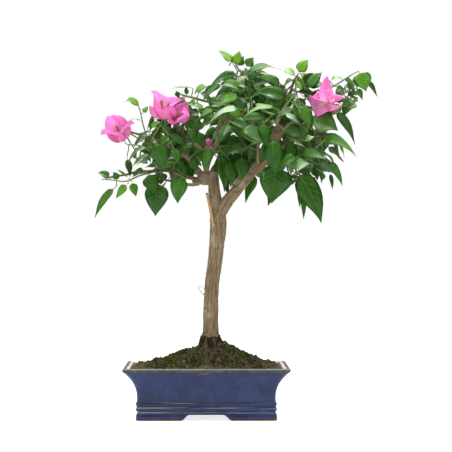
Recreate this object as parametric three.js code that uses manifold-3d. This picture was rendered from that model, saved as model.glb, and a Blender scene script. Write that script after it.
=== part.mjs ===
// A bougainvillea grown as a bonsai, in its rectangular glazed pot.
// Millimetres, +Z up. X runs along the pot's long side, Y away from the front,
// and the plan starts from the pot's centre, with its feet at Z 0.
import * as THREE from 'three';
import { mergeVertices } from 'three/addons/utils/BufferGeometryUtils.js';
import Module from 'manifold-3d';

const wasm = await Module();
wasm.setup();

// Clearance between pieces that touch on the real plant.
const seatGap = 0.3;
// Points closer than this are one point, and facets this flat are joined.
const sameplace = 1e-4;
const flatEnough = 0.03;

// The pot: a box of clay with a flared wall, a rolled lip, two mouldings and four feet.
const rimLength = 200;
const rimDepth = 150;
const rimTop = 62.5;
const rimEdge = 60.6;
const rimBevel = 1.6;
const rimRound = 1.2;
const lipUnderside = 57.5;
const waistTop = 26;
const waistHalf = 82.9;
const lipHalf = 98.2;
const flarePower = 2.3;
const bandHalf = 83.9;
const bandEdges = [10.7, 16.3, 22.4];
const grooveDepth = 1.1;
const grooveRound = 0.8;
const footHalf = 84.1;
const footSplay = 5;
const ankle = 9;
const potCornerRadius = 6;
const footWidth = 9;
const recessTop = 6.5;
const floorTop = 14;
const innerWall = [[75, floorTop], [77, 26], [84.5, 50], [90.5, 58], [92.2, 61.4], [93.6, rimTop]];
const cutHeight = 7;
const longCut = { foot: 60, top: 41 };
const shortCut = { foot: 42, top: 26 };
const drainRadius = 6;
const drainSpacing = 80;

// The soil: level near the wall, heaped to a steep mound at the trunk.
const soilEdge = 58;
const wallGap = 0.35;
const mound = { height: 36, tilt: 5, reach: { x: 84, y: 58 }, centre: 5, steepness: 0.86, lean: 0.15 };
const collar = { top: 98, centre: 4.4, inner: 12, middle: 14, outer: 17 };
const soilRings = [1, 0.86, 0.69, 0.52, 0.37];
const collarRings = [collar.outer, collar.middle, collar.inner, 7];
const soilSteps = { corner: 2, long: 9, short: 6 };
const soilLumps = { height: 2.6, spacing: 28, ways: [0.4, 1.5, 2.3], collarFade: 14, wallFade: 14 };

// The trunk: centre line as [x, y, z, radius] from the flat cut in the soil to the sawn leader.
const trunkLine = [
  [4.4, 0, 94.7, 11.8],
  [4.6, 0, 102, 10.2],
  [5.2, 0, 125, 9.6],
  [5.7, 0, 149, 9.4],
  [10.1, 0, 185, 9.2],
  [12.2, 0, 210, 9.5],
  [13.6, 0, 238, 10.2],
  [12, 0, 257, 8.6],
  [10, 0, 272, 7.2],
  [7.9, 0, 299, 6.2],
];
const trunkSides = 12;
const trunkFlutes = 3;
const fluteDepth = 0.05;
const fluteTurn = 0.6;
const burl = { centre: [-3, 0, 290], size: [9, 8, 8.5] };
const deadStub = { from: [9, -7.5, 229], to: [0.1, -13, 272], base: 1.9, tip: 1.5 };

// Boughs: each runs from a point inside its parent limb to its tip.
const boughs = [
  { name: 'bough_right', parent: 'trunk', base: 8.6, tip: 5.4, sides: 10,
    route: [[12, 0, 238], [20, -3, 254], [39, -10, 279], [57, -17, 300], [73, -24, 316], [90, -33, 355]] },
  { name: 'bough_upright', parent: 'trunk', base: 3.3, tip: 2.2, sides: 6,
    route: [[-2, 0, 293], [2, 0, 309], [12, 0, 333], [15, 0, 353], [23, 0, 378]] },
  { name: 'bough_left_low', parent: 'trunk', base: 2.6, tip: 1.9, sides: 6,
    route: [[-4, 1, 288], [-24, 7, 292], [-48, 11, 300], [-80, 4, 298]] },
  { name: 'bough_left_front', parent: 'trunk', base: 2.4, tip: 1.9, sides: 6,
    route: [[-5, -3, 286], [-18, -12, 282], [-34, -18, 284]] },
  { name: 'bough_left_high', parent: 'trunk', base: 2.6, tip: 1.9, sides: 6,
    route: [[-5, 1, 293], [-26, 3, 318], [-46, 4, 330], [-67, 3, 339]] },
  { name: 'bough_left_mid', parent: 'bough_upright', base: 2.2, tip: 1.8, sides: 6,
    route: [[7.5, 0, 322], [-10, -3, 329], [-22, -8, 338]] },
  { name: 'bough_front', parent: 'bough_upright', base: 2.2, tip: 1.8, sides: 6,
    route: [[11.5, 0, 331], [13, -14, 338], [16, -28, 346]] },
  { name: 'bough_back_centre', parent: 'bough_upright', base: 2.2, tip: 1.8, sides: 6,
    route: [[14.5, 0, 346], [20, 22, 352], [28, 44, 360]] },
  { name: 'bough_back_left', parent: 'trunk', base: 2.6, tip: 1.9, sides: 6,
    route: [[-3, 4, 292], [-12, 20, 305], [-26, 40, 320]] },
  { name: 'bough_fork', parent: 'bough_right', base: 2.3, tip: 1.8, sides: 6,
    route: [[45, -12, 286], [44, 6, 296], [42, 22, 304]] },
  { name: 'bough_right_front', parent: 'bough_right', base: 2.3, tip: 1.8, sides: 6,
    route: [[63, -20, 306], [62, -34, 315], [62, -44, 324]] },
  { name: 'bough_right_low', parent: 'bough_right', base: 2.6, tip: 1.9, sides: 6,
    route: [[58, -17, 301], [76, -14, 298], [92, -10, 294]] },
  { name: 'bough_right_mid', parent: 'bough_right', base: 2.4, tip: 1.8, sides: 6,
    route: [[72, -23, 315], [88, -24, 325], [104, -25, 334]] },
  { name: 'bough_right_outer', parent: 'bough_right', base: 2.8, tip: 1.9, sides: 6,
    route: [[77, -26, 324], [98, -4, 352], [124, 3, 372], [148, 5, 382]] },
  { name: 'bough_right_top', parent: 'bough_right', base: 2.6, tip: 1.9, sides: 6,
    route: [[82, -29, 336], [86, -12, 356], [94, -3, 376]] },
  { name: 'bough_back_right', parent: 'bough_right', base: 2.6, tip: 1.9, sides: 6,
    route: [[66, -21, 309], [74, 8, 316], [86, 34, 326]] },
];
const ringsPerPoint = 1.5;
const sawCut = { point: [87.5, -34, 347], facing: [-0.12, -0.8, 0.6] };
const openViewRadius = 6;
const openViewWays = [12, 24, 36, 48, 60];

// Foliage: each mass has a bough to grow on, a space of its own, and shoots that end in
// a leaf of a chosen reach, as [shoot end, leaf tip, leaf width].
const masses = [
  { name: 'foliage_left_tip', bough: 'bough_left_low',
    centre: [-102, 0, 294], radii: [34, 44, 30], twigs: 6, hang: 0.5,
    shoots: [[[-128, -4, 291], [-136, -6, 242], 12], [[-108, -6, 291], [-111, -8, 265], 10]] },
  { name: 'foliage_left_low', bough: 'bough_left_front',
    centre: [-50, -18, 288], radii: [34, 46, 32], twigs: 6, hang: 0.55,
    shoots: [[[-64, -20, 287], [-62, -26, 245], 23], [[-44, -24, 290], [-36, -28, 262], 17]] },
  { name: 'foliage_left_upper', bough: 'bough_left_high',
    centre: [-88, 2, 345], radii: [36, 46, 36], twigs: 6, hang: 0.4,
    shoots: [[[-82, -4, 374], [-97, -8, 379], 9]],
    flowers: [[[-104, -14, 346], [-0.45, -0.85, 0.1]]] },
  { name: 'foliage_left_mid', bough: 'bough_left_mid',
    centre: [-38, -6, 354], radii: [38, 50, 38], twigs: 6, hang: 0.4,
    shoots: [[[-20, -12, 386], [4, -16, 388], 9]],
    flowers: [[[-42, -26, 370], [0.25, -0.9, 0.3]], [[-58, -18, 372], [-0.5, -0.7, 0.5]]] },
  { name: 'foliage_front', bough: 'bough_front',
    centre: [24, -42, 358], radii: [40, 42, 38], twigs: 6, hang: 0.5,
    shoots: [] },
  { name: 'foliage_top', bough: 'bough_upright',
    centre: [38, 0, 408], radii: [42, 46, 38], twigs: 6, hang: 0.2,
    shoots: [[[35, -2, 428], [14, -4, 446], 9], [[40, 0, 430], [41, -2, 447], 8],
      [[46, -2, 416], [76, -6, 427], 10]] },
  { name: 'foliage_back_centre', bough: 'bough_back_centre',
    centre: [38, 66, 366], radii: [44, 44, 42], twigs: 6, hang: 0.5,
    shoots: [] },
  { name: 'foliage_back_left', bough: 'bough_back_left',
    centre: [-40, 60, 330], radii: [44, 44, 42], twigs: 6, hang: 0.5,
    shoots: [] },
  { name: 'foliage_fork', bough: 'bough_fork',
    centre: [38, 38, 314], radii: [36, 34, 36], twigs: 6, hang: 0.6,
    shoots: [] },
  { name: 'foliage_right_low', bough: 'bough_right_low',
    centre: [116, -8, 292], radii: [46, 48, 36], twigs: 6, hang: 0.6,
    shoots: [[[112, -22, 297], [140, -26, 237], 24], [[116, -10, 284], [117, -16, 241], 11],
      [[84, -22, 304], [76, -30, 257], 20], [[98, -26, 300], [92, -32, 262], 20]] },
  { name: 'foliage_right_front', bough: 'bough_right_front',
    centre: [66, -58, 344], radii: [34, 32, 40], twigs: 6, hang: 0.6,
    shoots: [] },
  { name: 'foliage_right_mid', bough: 'bough_right_mid',
    centre: [130, -26, 338], radii: [46, 46, 36], twigs: 6, hang: 0.6,
    shoots: [[[158, -22, 330], [183, -24, 318], 12], [[134, -34, 366], [158, -38, 340], 24]] },
  { name: 'foliage_right_top', bough: 'bough_right_top',
    centre: [102, 0, 396], radii: [44, 48, 38], twigs: 6, hang: 0.25,
    shoots: [[[110, -6, 420], [124, -8, 435], 9], [[126, -4, 412], [142, -6, 421], 10]],
    flowers: [[[140, -22, 390], [0.2, -0.75, 0.6]]] },
  { name: 'foliage_right_shoot', bough: 'bough_right_outer',
    centre: [172, 4, 384], radii: [38, 40, 38], twigs: 6, hang: 0.4,
    shoots: [[[178, 0, 415], [194, -2, 400], 14], [[182, 4, 404], [208, 2, 391], 8],
      [[162, -6, 374], [182, -10, 333], 9]] },
  { name: 'foliage_back_right', bough: 'bough_back_right',
    centre: [108, 60, 340], radii: [44, 44, 42], twigs: 6, hang: 0.5,
    shoots: [] },
];
const stem = { base: 1.8, tip: 1.4, sides: 4, steps: 3, reach: 0.6, aim: 0.4 };
const twig = { base: 1.3, tip: 1, sides: 3, steps: 1, reach: 0.9, bow: 0 };
const shoot = { ...twig, steps: 2, bow: 0.08 };
const twigVariation = { least: 0.85, extra: 0.3 };
const shorterTwigs = [1, 0.85, 0.7, 0.55];
const onStem = { shoots: [0.35, 0.85], twigs: [0.25, 0.95], flower: 0.7, flowerStep: 0.2 };

// Growth: seeds of the repeatable numbers, how far masses reach past their spaces and into
// each other's edges, and how clear the pieces stay of each other and of the limbs.
const seedBase = 116;
const seedStep = 17;
const envelope = 1.25;
const cellMargin = 0.4;
const clearance = 3;
const interleave = 18;
const checkSpacing = 2.5;
const twigFreeStart = 6;
const twigMargin = 0.8;
const rootMargin = 1.2;
const bladeMargin = 2.6;
const bladeSteps = 10;
const bladeSides = [-1, -0.5, 0, 0.5, 1];

// Leaves: folded along the midrib, pointed, with the root sunk in the twig. A leaf leans
// along its twig and to its side, and is turned on and shortened until it finds room.
const leafLength = { shortest: 30, longest: 46 };
const leafWidth = 0.54;
const outlook = 1.7;
const leafThickness = 1.2;
const leafRoot = 0.6;
const leafSink = 0.2;
const leafFold = 0.1;
const leafDroop = 0.22;
const leafSpacing = 6.8;
const widest = 0.42;
const tries = 9;
const turnAgain = 1.1;
const shrinkAgain = 0.94;
const nodeLeaf = { first: 0.3, last: 0.92, along: 0.5, tilt: 0.9 };
const endLeaf = { share: 0.96, along: 1, tilt: 0.3, turns: 6, least: 0.75 };
const rollSpread = { grown: 0.8, aimed: 0.5 };
const bract = {
  length: 25, width: 19, fold: 0.25, droop: 0.05, spread: 0.9, rise: 0.62, count: 3, turn: 0.5,
  firstRoot: 0.97, rootStep: 0.04,
};
const goldenAngle = Math.PI * (3 - Math.sqrt(5));
const crownMiddle = 40;

const up = new THREE.Vector3(0, 0, 1);
const vector = (triple) => new THREE.Vector3(triple[0], triple[1], triple[2]);

// A repeatable stream of numbers from 0 to 1.
function seeded(seed) {
  let state = seed;
  return () => {
    state = (state + 0x6d2b79f5) | 0;
    let mixed = Math.imul(state ^ (state >>> 15), 1 | state);
    mixed = (mixed + Math.imul(mixed ^ (mixed >>> 7), 61 | mixed)) ^ mixed;
    return ((mixed ^ (mixed >>> 14)) >>> 0) / 4294967296;
  };
}

// A closed skin over rings of points that run anticlockwise round their direction of travel.
function loft(rings) {
  const count = rings[0].length;
  const positions = rings.flat().flatMap((point) => [point.x, point.y, point.z]);
  const index = [];
  for (let ring = 0; ring + 1 < rings.length; ring += 1) {
    for (let side = 0; side < count; side += 1) {
      const next = (side + 1) % count;
      const low = ring * count;
      const high = low + count;
      index.push(low + side, low + next, high + next, low + side, high + next, high + side);
    }
  }
  const last = (rings.length - 1) * count;
  for (let side = 1; side + 1 < count; side += 1) {
    index.push(0, side + 1, side, last, last + side, last + side + 1);
  }
  const geometry = new THREE.BufferGeometry();
  geometry.setAttribute('position', new THREE.Float32BufferAttribute(positions, 3));
  geometry.setIndex(index);
  return geometry;
}

// A solid for joining and cutting, from any closed geometry.
function solid(geometry) {
  geometry.deleteAttribute('normal');
  geometry.deleteAttribute('uv');
  const merged = mergeVertices(geometry, sameplace);
  return new wasm.Manifold(new wasm.Mesh({
    numProp: 3,
    vertProperties: merged.attributes.position.array,
    triVerts: new Uint32Array(merged.index.array),
  }));
}

// The outer body of a solid: sealed hollows and loose scraps are left out.
function outerBody(shape) {
  const bodies = shape.decompose();
  bodies.sort((one, other) => other.volume() - one.volume());
  const mesh = bodies[0].simplify(flatEnough).getMesh();
  const geometry = new THREE.BufferGeometry();
  geometry.setAttribute('position', new THREE.Float32BufferAttribute(mesh.vertProperties, 3));
  geometry.setIndex(Array.from(mesh.triVerts));
  return geometry;
}

// A rectangle with rounded corners, in plan, at one height.
function roundedRing(halfLength, halfDepth, radius, height, cornerSteps, longSteps, shortSteps) {
  const ring = [];
  const corners = [[1, -1, longSteps], [1, 1, shortSteps], [-1, 1, longSteps], [-1, -1, shortSteps]];
  corners.forEach(([signX, signY], corner) => {
    const startAngle = (corner - 1) * Math.PI / 2;
    for (let step = 0; step <= cornerSteps; step += 1) {
      const angle = startAngle + step / cornerSteps * Math.PI / 2;
      ring.push(new THREE.Vector3(
        signX * (halfLength - radius) + radius * Math.cos(angle),
        signY * (halfDepth - radius) + radius * Math.sin(angle),
        height,
      ));
    }
    const sideSteps = corner % 2 === 0 ? shortSteps : longSteps;
    const [nextX, nextY] = corners[(corner + 1) % 4];
    const from = ring[ring.length - 1];
    const nextAngle = corner * Math.PI / 2;
    const to = new THREE.Vector3(
      nextX * (halfLength - radius) + radius * Math.cos(nextAngle),
      nextY * (halfDepth - radius) + radius * Math.sin(nextAngle),
      height,
    );
    for (let step = 1; step < sideSteps; step += 1) {
      ring.push(from.clone().lerp(to, step / sideSteps));
    }
  });
  return ring;
}

// A ring of the pot: all four sides keep the same overhang.
function potRing(half, height, radius = potCornerRadius) {
  return roundedRing(half, half - (rimLength - rimDepth) / 2, radius, height, 2, 1, 1);
}

function potProfile() {
  const profile = [[footHalf, 0], [footHalf, footSplay], [bandHalf - grooveDepth, ankle]];
  for (let band = 0; band + 1 < bandEdges.length; band += 1) {
    profile.push([bandHalf - grooveDepth, bandEdges[band]]);
    profile.push([bandHalf, bandEdges[band] + grooveRound]);
    profile.push([bandHalf, bandEdges[band + 1] - grooveRound]);
  }
  profile.push([waistHalf, bandEdges[2]]);
  const wallSteps = 5;
  for (let step = 0; step <= wallSteps; step += 1) {
    const share = step / wallSteps;
    const half = waistHalf + (lipHalf - waistHalf) * share ** flarePower;
    profile.push([half, waistTop + (lipUnderside - waistTop) * share]);
  }
  const rimHalf = rimLength / 2;
  profile.push([rimHalf, rimEdge - rimRound], [rimHalf, rimEdge], [rimHalf - rimBevel, rimTop]);
  return profile;
}

// The gap between two feet: a slot through the foot ring with flowing ends.
function footCut(width, length, turned) {
  const steps = 4;
  const outline = [new THREE.Vector2(width.foot / 2 + 1, -2), new THREE.Vector2(width.foot / 2, 0)];
  for (let step = 1; step <= steps; step += 1) {
    const share = step / steps;
    const rise = share * share * (3 - 2 * share);
    outline.push(new THREE.Vector2((width.foot + (width.top - width.foot) * share) / 2, cutHeight * rise));
  }
  const mirrored = outline.map((point) => new THREE.Vector2(-point.x, point.y)).reverse();
  const shape = new THREE.Shape(outline.concat(mirrored));
  const geometry = new THREE.ExtrudeGeometry(shape, { depth: length, bevelEnabled: false });
  geometry.translate(0, 0, -length / 2);
  geometry.rotateX(Math.PI / 2);
  if (turned) geometry.rotateZ(Math.PI / 2);
  return solid(geometry);
}

function potGeometry() {
  const outer = potProfile().map(([half, height]) => potRing(half, height));
  const inner = innerWall.slice().reverse().map(([half, height]) => potRing(half, height));
  const recess = new THREE.BoxGeometry(
    2 * (footHalf - footWidth),
    2 * (footHalf - footWidth) - (rimLength - rimDepth),
    2 * recessTop,
  );
  let body = solid(loft(outer.concat(inner)));
  body = body.subtract(solid(recess));
  body = body.subtract(footCut(longCut, 2 * rimDepth, false));
  body = body.subtract(footCut(shortCut, 2 * rimLength, true));
  for (const side of [-1, 1]) {
    const drain = new THREE.CylinderGeometry(drainRadius, drainRadius, 2 * floorTop, 12);
    drain.rotateX(Math.PI / 2);
    drain.translate(side * drainSpacing / 2, 0, floorTop);
    body = body.subtract(solid(drain));
  }
  return outerBody(body);
}

// Broad lumps of soil: waves that cross, evened out at the trunk and the wall.
function soilLump(x, y) {
  const { height, spacing, ways, collarFade, wallFade } = soilLumps;
  const wave = (way) => Math.cos(2 * Math.PI * (x * Math.cos(way) + y * Math.sin(way)) / spacing + way);
  const lump = ways.reduce((sum, way) => sum + wave(way), 0) / ways.length;
  const soilHalf = innerWall[3][0] - wallGap;
  const overhang = (rimLength - rimDepth) / 2;
  const toWall = Math.min(soilHalf - Math.abs(x), soilHalf - overhang - Math.abs(y));
  const toCollar = Math.hypot(x - collar.centre, y) - collar.outer;
  const share = Math.min(1, Math.max(0, toWall) / wallFade, Math.max(0, toCollar) / collarFade);
  return height * lump * share;
}

// The height of the soil at a place: a mound that is lower to the left of the trunk than to the
// right, with broad lumps, and a collar of soil that flares from the trunk's foot.
function soilHeight(x, y) {
  const east = (x - mound.centre) / mound.reach.x;
  const north = y / mound.reach.y;
  const distance = Math.min(1, Math.hypot(east, north));
  const facing = east / Math.max(distance, 0.001);
  const power = mound.steepness + mound.lean * facing;
  const heap = soilEdge + (mound.height + mound.tilt * facing) * (1 - distance) ** power + soilLump(x, y);
  const fromTrunk = Math.hypot(x - collar.centre, y);
  const share = Math.min(1, Math.max(0, (collar.outer - fromTrunk) / (collar.outer - collar.inner)));
  return heap + (collar.top - heap) * share ** 2;
}

function soilGeometry(trunkSpace) {
  const soilRing = (half, height) => roundedRing(
    half - wallGap, half - wallGap - (rimLength - rimDepth) / 2, potCornerRadius, height,
    soilSteps.corner, soilSteps.long, soilSteps.short,
  );
  const sides = innerWall.slice(0, 4).map(([half, height]) => soilRing(half, height));
  sides[0].forEach((point) => { point.z += seatGap; });
  const edge = sides.pop();
  const middle = new THREE.Vector3(mound.centre, 0, soilEdge);
  const raised = (place) => place.setZ(soilHeight(place.x, place.y));
  const slopes = soilRings.map((share) => edge.map((point) => raised(middle.clone().lerp(point, share))));
  const crown = collarRings.map((radius) => edge.map((point) => {
    const out = point.clone().sub(middle).setZ(0).setLength(radius);
    return raised(out.add(new THREE.Vector3(collar.centre, 0, 0)));
  }));
  return outerBody(solid(loft(sides.concat(slopes, crown))).subtract(trunkSpace));
}

// The middle line of a limb as a smooth curve.
function curveOf(route) {
  return new THREE.CatmullRomCurve3(route.map(vector), false, 'catmullrom', 0.5);
}

// Rings of a tapering round limb along a curve.
function limbRings(pointAt, radiusAt, sides, steps, outline = () => 1) {
  const rings = [];
  let across = null;
  for (let step = 0; step <= steps; step += 1) {
    const share = step / steps;
    const before = pointAt(Math.max(0, share - 0.01));
    const direction = pointAt(Math.min(1, share + 0.01)).sub(before).normalize();
    if (across === null) {
      const guide = Math.abs(direction.y) < 0.8 ? [0, 1, 0] : [1, 0, 0];
      across = vector(guide).cross(direction);
    }
    across.addScaledVector(direction, -across.dot(direction)).normalize();
    const other = direction.clone().cross(across);
    const centre = pointAt(share);
    rings.push(Array.from({ length: sides }, (_, side) => {
      const angle = side / sides * 2 * Math.PI;
      const radius = radiusAt(share) * outline(angle, share);
      return centre.clone()
        .addScaledVector(across, radius * Math.cos(angle))
        .addScaledVector(other, radius * Math.sin(angle));
    }));
  }
  return rings;
}

// The trunk's radius and place at a share of its length, between the measured rings.
function trunkAt(share) {
  const curve = curveOf(trunkLine);
  const radii = new THREE.CatmullRomCurve3(
    trunkLine.map((ring) => new THREE.Vector3(ring[3], 0, 0)), false, 'catmullrom', 0.5,
  );
  return { centre: curve.getPoint(share), radius: radii.getPoint(share).x };
}

function trunkSolid(grown) {
  const flutes = (angle) => 1 + fluteDepth * Math.cos(trunkFlutes * angle + fluteTurn);
  const rings = limbRings(
    (share) => trunkAt(share).centre, (share) => trunkAt(share).radius + grown,
    trunkSides, trunkLine.length - 1, flutes,
  );
  const flat = rings[0];
  flat.forEach((point) => { point.z = trunkLine[0][2] - grown; });
  const knot = new THREE.IcosahedronGeometry(1, 1);
  knot.scale(burl.size[0] + grown, burl.size[1] + grown, burl.size[2] + grown);
  knot.translate(...burl.centre);
  const stubCurve = curveOf([deadStub.from, deadStub.to]);
  const stub = limbRings(
    (share) => stubCurve.getPoint(share),
    (share) => deadStub.base + (deadStub.tip - deadStub.base) * share + grown, 6, 1,
  );
  return solid(loft(rings)).add(solid(knot)).add(solid(loft(stub)));
}

function boughSolid(bough, grown) {
  const curve = curveOf(bough.route);
  return solid(loft(limbRings(
    (share) => curve.getPoint(share),
    (share) => bough.base + (bough.tip - bough.base) * share + grown,
    bough.sides, Math.ceil((bough.route.length - 1) * ringsPerPoint),
  )));
}

// The sawn end of the heavy bough: all beyond a plane is cut away.
function sawSpace() {
  const block = new THREE.BoxGeometry(80, 80, 80);
  block.translate(0, 0, 40);
  const facing = vector(sawCut.facing).normalize();
  block.applyQuaternion(new THREE.Quaternion().setFromUnitVectors(up, facing));
  block.translate(...sawCut.point);
  return solid(block);
}

// Points along the trunk and boughs, with the radius there, that foliage keeps clear of.
function limbPlaces() {
  const places = [];
  const along = (pointAt, radiusAt, length) => {
    const count = Math.ceil(length / checkSpacing);
    for (let step = 0; step <= count; step += 1) {
      places.push({ point: pointAt(step / count), radius: radiusAt(step / count) });
    }
  };
  const trunkLength = trunkLine[trunkLine.length - 1][2] - trunkLine[0][2];
  along((share) => trunkAt(share).centre, (share) => trunkAt(share).radius, trunkLength);
  places.push({ point: vector(burl.centre), radius: Math.max(...burl.size) });
  const [stubStart, stubEnd] = [vector(deadStub.from), vector(deadStub.to)];
  const stubLength = stubStart.distanceTo(stubEnd);
  along((share) => stubStart.clone().lerp(stubEnd, share), () => deadStub.base, stubLength);
  for (const bough of boughs) {
    const curve = curveOf(bough.route);
    along(
      (share) => curve.getPoint(share),
      (share) => bough.base + (bough.tip - bough.base) * share,
      curve.getLength(),
    );
  }
  return places;
}

// The sawn face of the heavy bough stays in view from the front.
function openView() {
  const from = vector(sawCut.point);
  return openViewWays.map((way) => ({
    point: from.clone().add(new THREE.Vector3(0, -way, 0)),
    radius: openViewRadius,
  }));
}

const limbs = limbPlaces().concat(openView());

function clearOfLimbs(point, margin) {
  return limbs.every((limb) => limb.point.distanceTo(point) >= limb.radius + margin);
}

// How far a point lies inside a mass's own space: the walls between masses are flat.
function roomAt(mass, point) {
  let room = Infinity;
  const reach = (one) => point.distanceToSquared(vector(one.centre)) - meanRadius(one) ** 2;
  for (const other of masses) {
    if (other === mass) continue;
    const between = vector(mass.centre).distanceTo(vector(other.centre));
    room = Math.min(room, (reach(other) - reach(mass)) / (2 * between));
  }
  return room;
}

function meanRadius(mass) {
  return (mass.radii[0] + mass.radii[1] + mass.radii[2]) / 3;
}

function beyond(mass, point) {
  const offset = point.clone().sub(vector(mass.centre));
  return Math.hypot(offset.x / mass.radii[0], offset.y / mass.radii[1], offset.z / mass.radii[2]);
}

// The frame of a blade: its direction, its upper side and the way across it.
function bladeFrame(root, direction, outward, roll) {
  const along = direction.clone().normalize();
  const face = up.clone().addScaledVector(outward, outlook);
  face.addScaledVector(along, -face.dot(along)).normalize();
  face.applyAxisAngle(along, roll);
  return { root, along, face, across: face.clone().cross(along) };
}

// A point of a blade at a share of its length and of its half width.
function bladePoint(frame, blade, share, side) {
  const fullHalf = blade.width / 2;
  const half = share < widest
    ? leafRoot / 2 + (fullHalf - leafRoot / 2) * share / widest
    : fullHalf * (1 - share) / (1 - widest);
  return frame.root.clone()
    .addScaledVector(frame.along, blade.length * share)
    .addScaledVector(up, -blade.length * blade.droop * share * share)
    .addScaledVector(frame.across, half * side)
    .addScaledVector(frame.face, half * Math.abs(side) * blade.fold * (share > 0 ? 1 : 0));
}

// A blade of six faces: a root and a tip, and a three-cornered section where it is widest.
function bladeSolid(frame, blade) {
  const middle = bladePoint(frame, blade, widest, 0);
  const corners = [
    frame.root.clone().addScaledVector(frame.along, -leafSink),
    bladePoint(frame, blade, widest, 1),
    bladePoint(frame, blade, widest, -1),
    middle.clone().addScaledVector(frame.face, -leafThickness),
    bladePoint(frame, blade, 1, 0),
  ];
  const index = [];
  for (let side = 1; side <= 3; side += 1) {
    const next = side % 3 + 1;
    index.push(0, next, side, 4, side, next);
  }
  const geometry = new THREE.BufferGeometry();
  const positions = corners.flatMap((corner) => corner.toArray());
  geometry.setAttribute('position', new THREE.Float32BufferAttribute(positions, 3));
  geometry.setIndex(index);
  return solid(geometry);
}

// The places that twigs and blades already fill, in groups that can be ruled out at once.
const taken = [];

function group(mass, points) {
  const middle = points[0].clone().lerp(points[points.length - 1], 0.5);
  const reach = Math.max(...points.map((point) => point.distanceTo(middle)));
  return { mass, points, middle, reach };
}

function apart(one, other) {
  if (one.middle.distanceTo(other.middle) > one.reach + other.reach + clearance) return true;
  return one.points.every((point) => other.points.every(
    (near) => point.distanceToSquared(near) >= clearance ** 2,
  ));
}

// Whether a blade keeps near its mass's space, off the limbs and off all that is there already.
function bladeFits(mass, frame, blade, aimed) {
  const points = [];
  for (let step = 1; step <= bladeSteps; step += 1) {
    for (const side of bladeSides) {
      const point = bladePoint(frame, blade, step / bladeSteps, side);
      if (!clearOfLimbs(point, step === 1 ? rootMargin : bladeMargin)) return false;
      if (!aimed && (roomAt(mass, point) < -interleave || beyond(mass, point) > envelope)) return false;
      points.push(point);
    }
  }
  const whole = group(mass, points);
  const outer = group(mass, points.slice(2 * bladeSides.length));
  const fits = taken.every((other) => {
    if (other.mass !== mass) return apart(whole, other);
    return aimed || apart(outer, other);
  });
  if (fits) taken.push(outer);
  return fits;
}

// A middle line whose middle point is raised by a share of its ends' distance.
function bowed(from, to, bow) {
  const middle = from.clone().lerp(to, 0.5).addScaledVector(up, from.distanceTo(to) * bow);
  return new THREE.QuadraticBezierCurve3(from, middle, to);
}

// Claims a twig's place, unless it leaves its mass's space or meets a limb or another mass's twig.
function claimTwig(mass, curve, room) {
  const start = curve.getPoint(0);
  const points = curve.getPoints(Math.ceil(curve.getLength() / checkSpacing));
  const clear = (point) => roomAt(mass, point) > room
    && (point.distanceTo(start) < twigFreeStart || clearOfLimbs(point, twig.base + twigMargin));
  const own = group(mass, points);
  const fits = points.every(clear) && taken.every((other) => other.mass === mass || apart(own, other));
  if (fits) taken.push(own);
  return fits;
}

function stalk(curve, size) {
  return solid(loft(limbRings(
    (share) => curve.getPoint(share),
    (share) => size.base + (size.tip - size.base) * share,
    size.sides, size.steps,
  )));
}

// A leaf that ends at a chosen place.
function aimedLeaf(plant, curve, tip, width) {
  const root = curve.getPoint(endLeaf.share);
  const reach = tip.clone().sub(root);
  const length = reach.length();
  const direction = reach.addScaledVector(up, length * leafDroop).divideScalar(length);
  const roll = (plant.random() - 0.5) * rollSpread.aimed;
  const frame = bladeFrame(root, direction, new THREE.Vector3(0, -1, 0.2), roll);
  frame.along.copy(direction);
  const blade = { length, width, fold: leafFold, droop: leafDroop };
  if (bladeFits(plant.mass, frame, blade, true)) plant.pieces.push(bladeSolid(frame, blade));
}

// A leaf set at a share of a twig's length, turned on until it finds room.
function grownLeaf(plant, curve, share, along, tilt, angle, size) {
  const { mass } = plant;
  const root = curve.getPoint(share);
  const tangent = curve.getTangent(share);
  const outward = root.clone().sub(new THREE.Vector3(crownMiddle, 0, 0)).setZ(0).normalize();
  for (let attempt = 0; attempt < tries; attempt += 1) {
    const side = new THREE.Vector3(0.3, 1, 0.1).cross(tangent).normalize();
    side.applyAxisAngle(tangent, angle + attempt * turnAgain);
    const direction = tangent.clone().multiplyScalar(along).addScaledVector(side, tilt);
    direction.addScaledVector(up, -mass.hang);
    const length = size * shrinkAgain ** attempt;
    const blade = { length, width: length * leafWidth, fold: leafFold, droop: leafDroop };
    const frame = bladeFrame(root, direction, outward, (plant.random() - 0.5) * rollSpread.grown);
    if (bladeFits(mass, frame, blade, false)) {
      plant.pieces.push(bladeSolid(frame, blade));
      return;
    }
  }
}

// Leaves set round a twig by the golden angle, after one at its end.
function leavesOn(plant, curve, withEnd) {
  const { random } = plant;
  const { shortest, longest } = leafLength;
  if (withEnd) {
    const angle = random() * endLeaf.turns;
    const size = longest * (endLeaf.least + (1 - endLeaf.least) * random());
    grownLeaf(plant, curve, endLeaf.share, endLeaf.along, endLeaf.tilt, angle, size);
  }
  const nodes = Math.floor(curve.getLength() * (1 - nodeLeaf.first) / leafSpacing);
  for (let node = 0; node < nodes; node += 1) {
    const share = nodeLeaf.first + (nodeLeaf.last - nodeLeaf.first) * (node + 0.5) / nodes;
    const size = shortest + (longest - shortest) * random();
    const angle = node * goldenAngle + random();
    grownLeaf(plant, curve, share, nodeLeaf.along, nodeLeaf.tilt, angle, size);
  }
}

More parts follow.
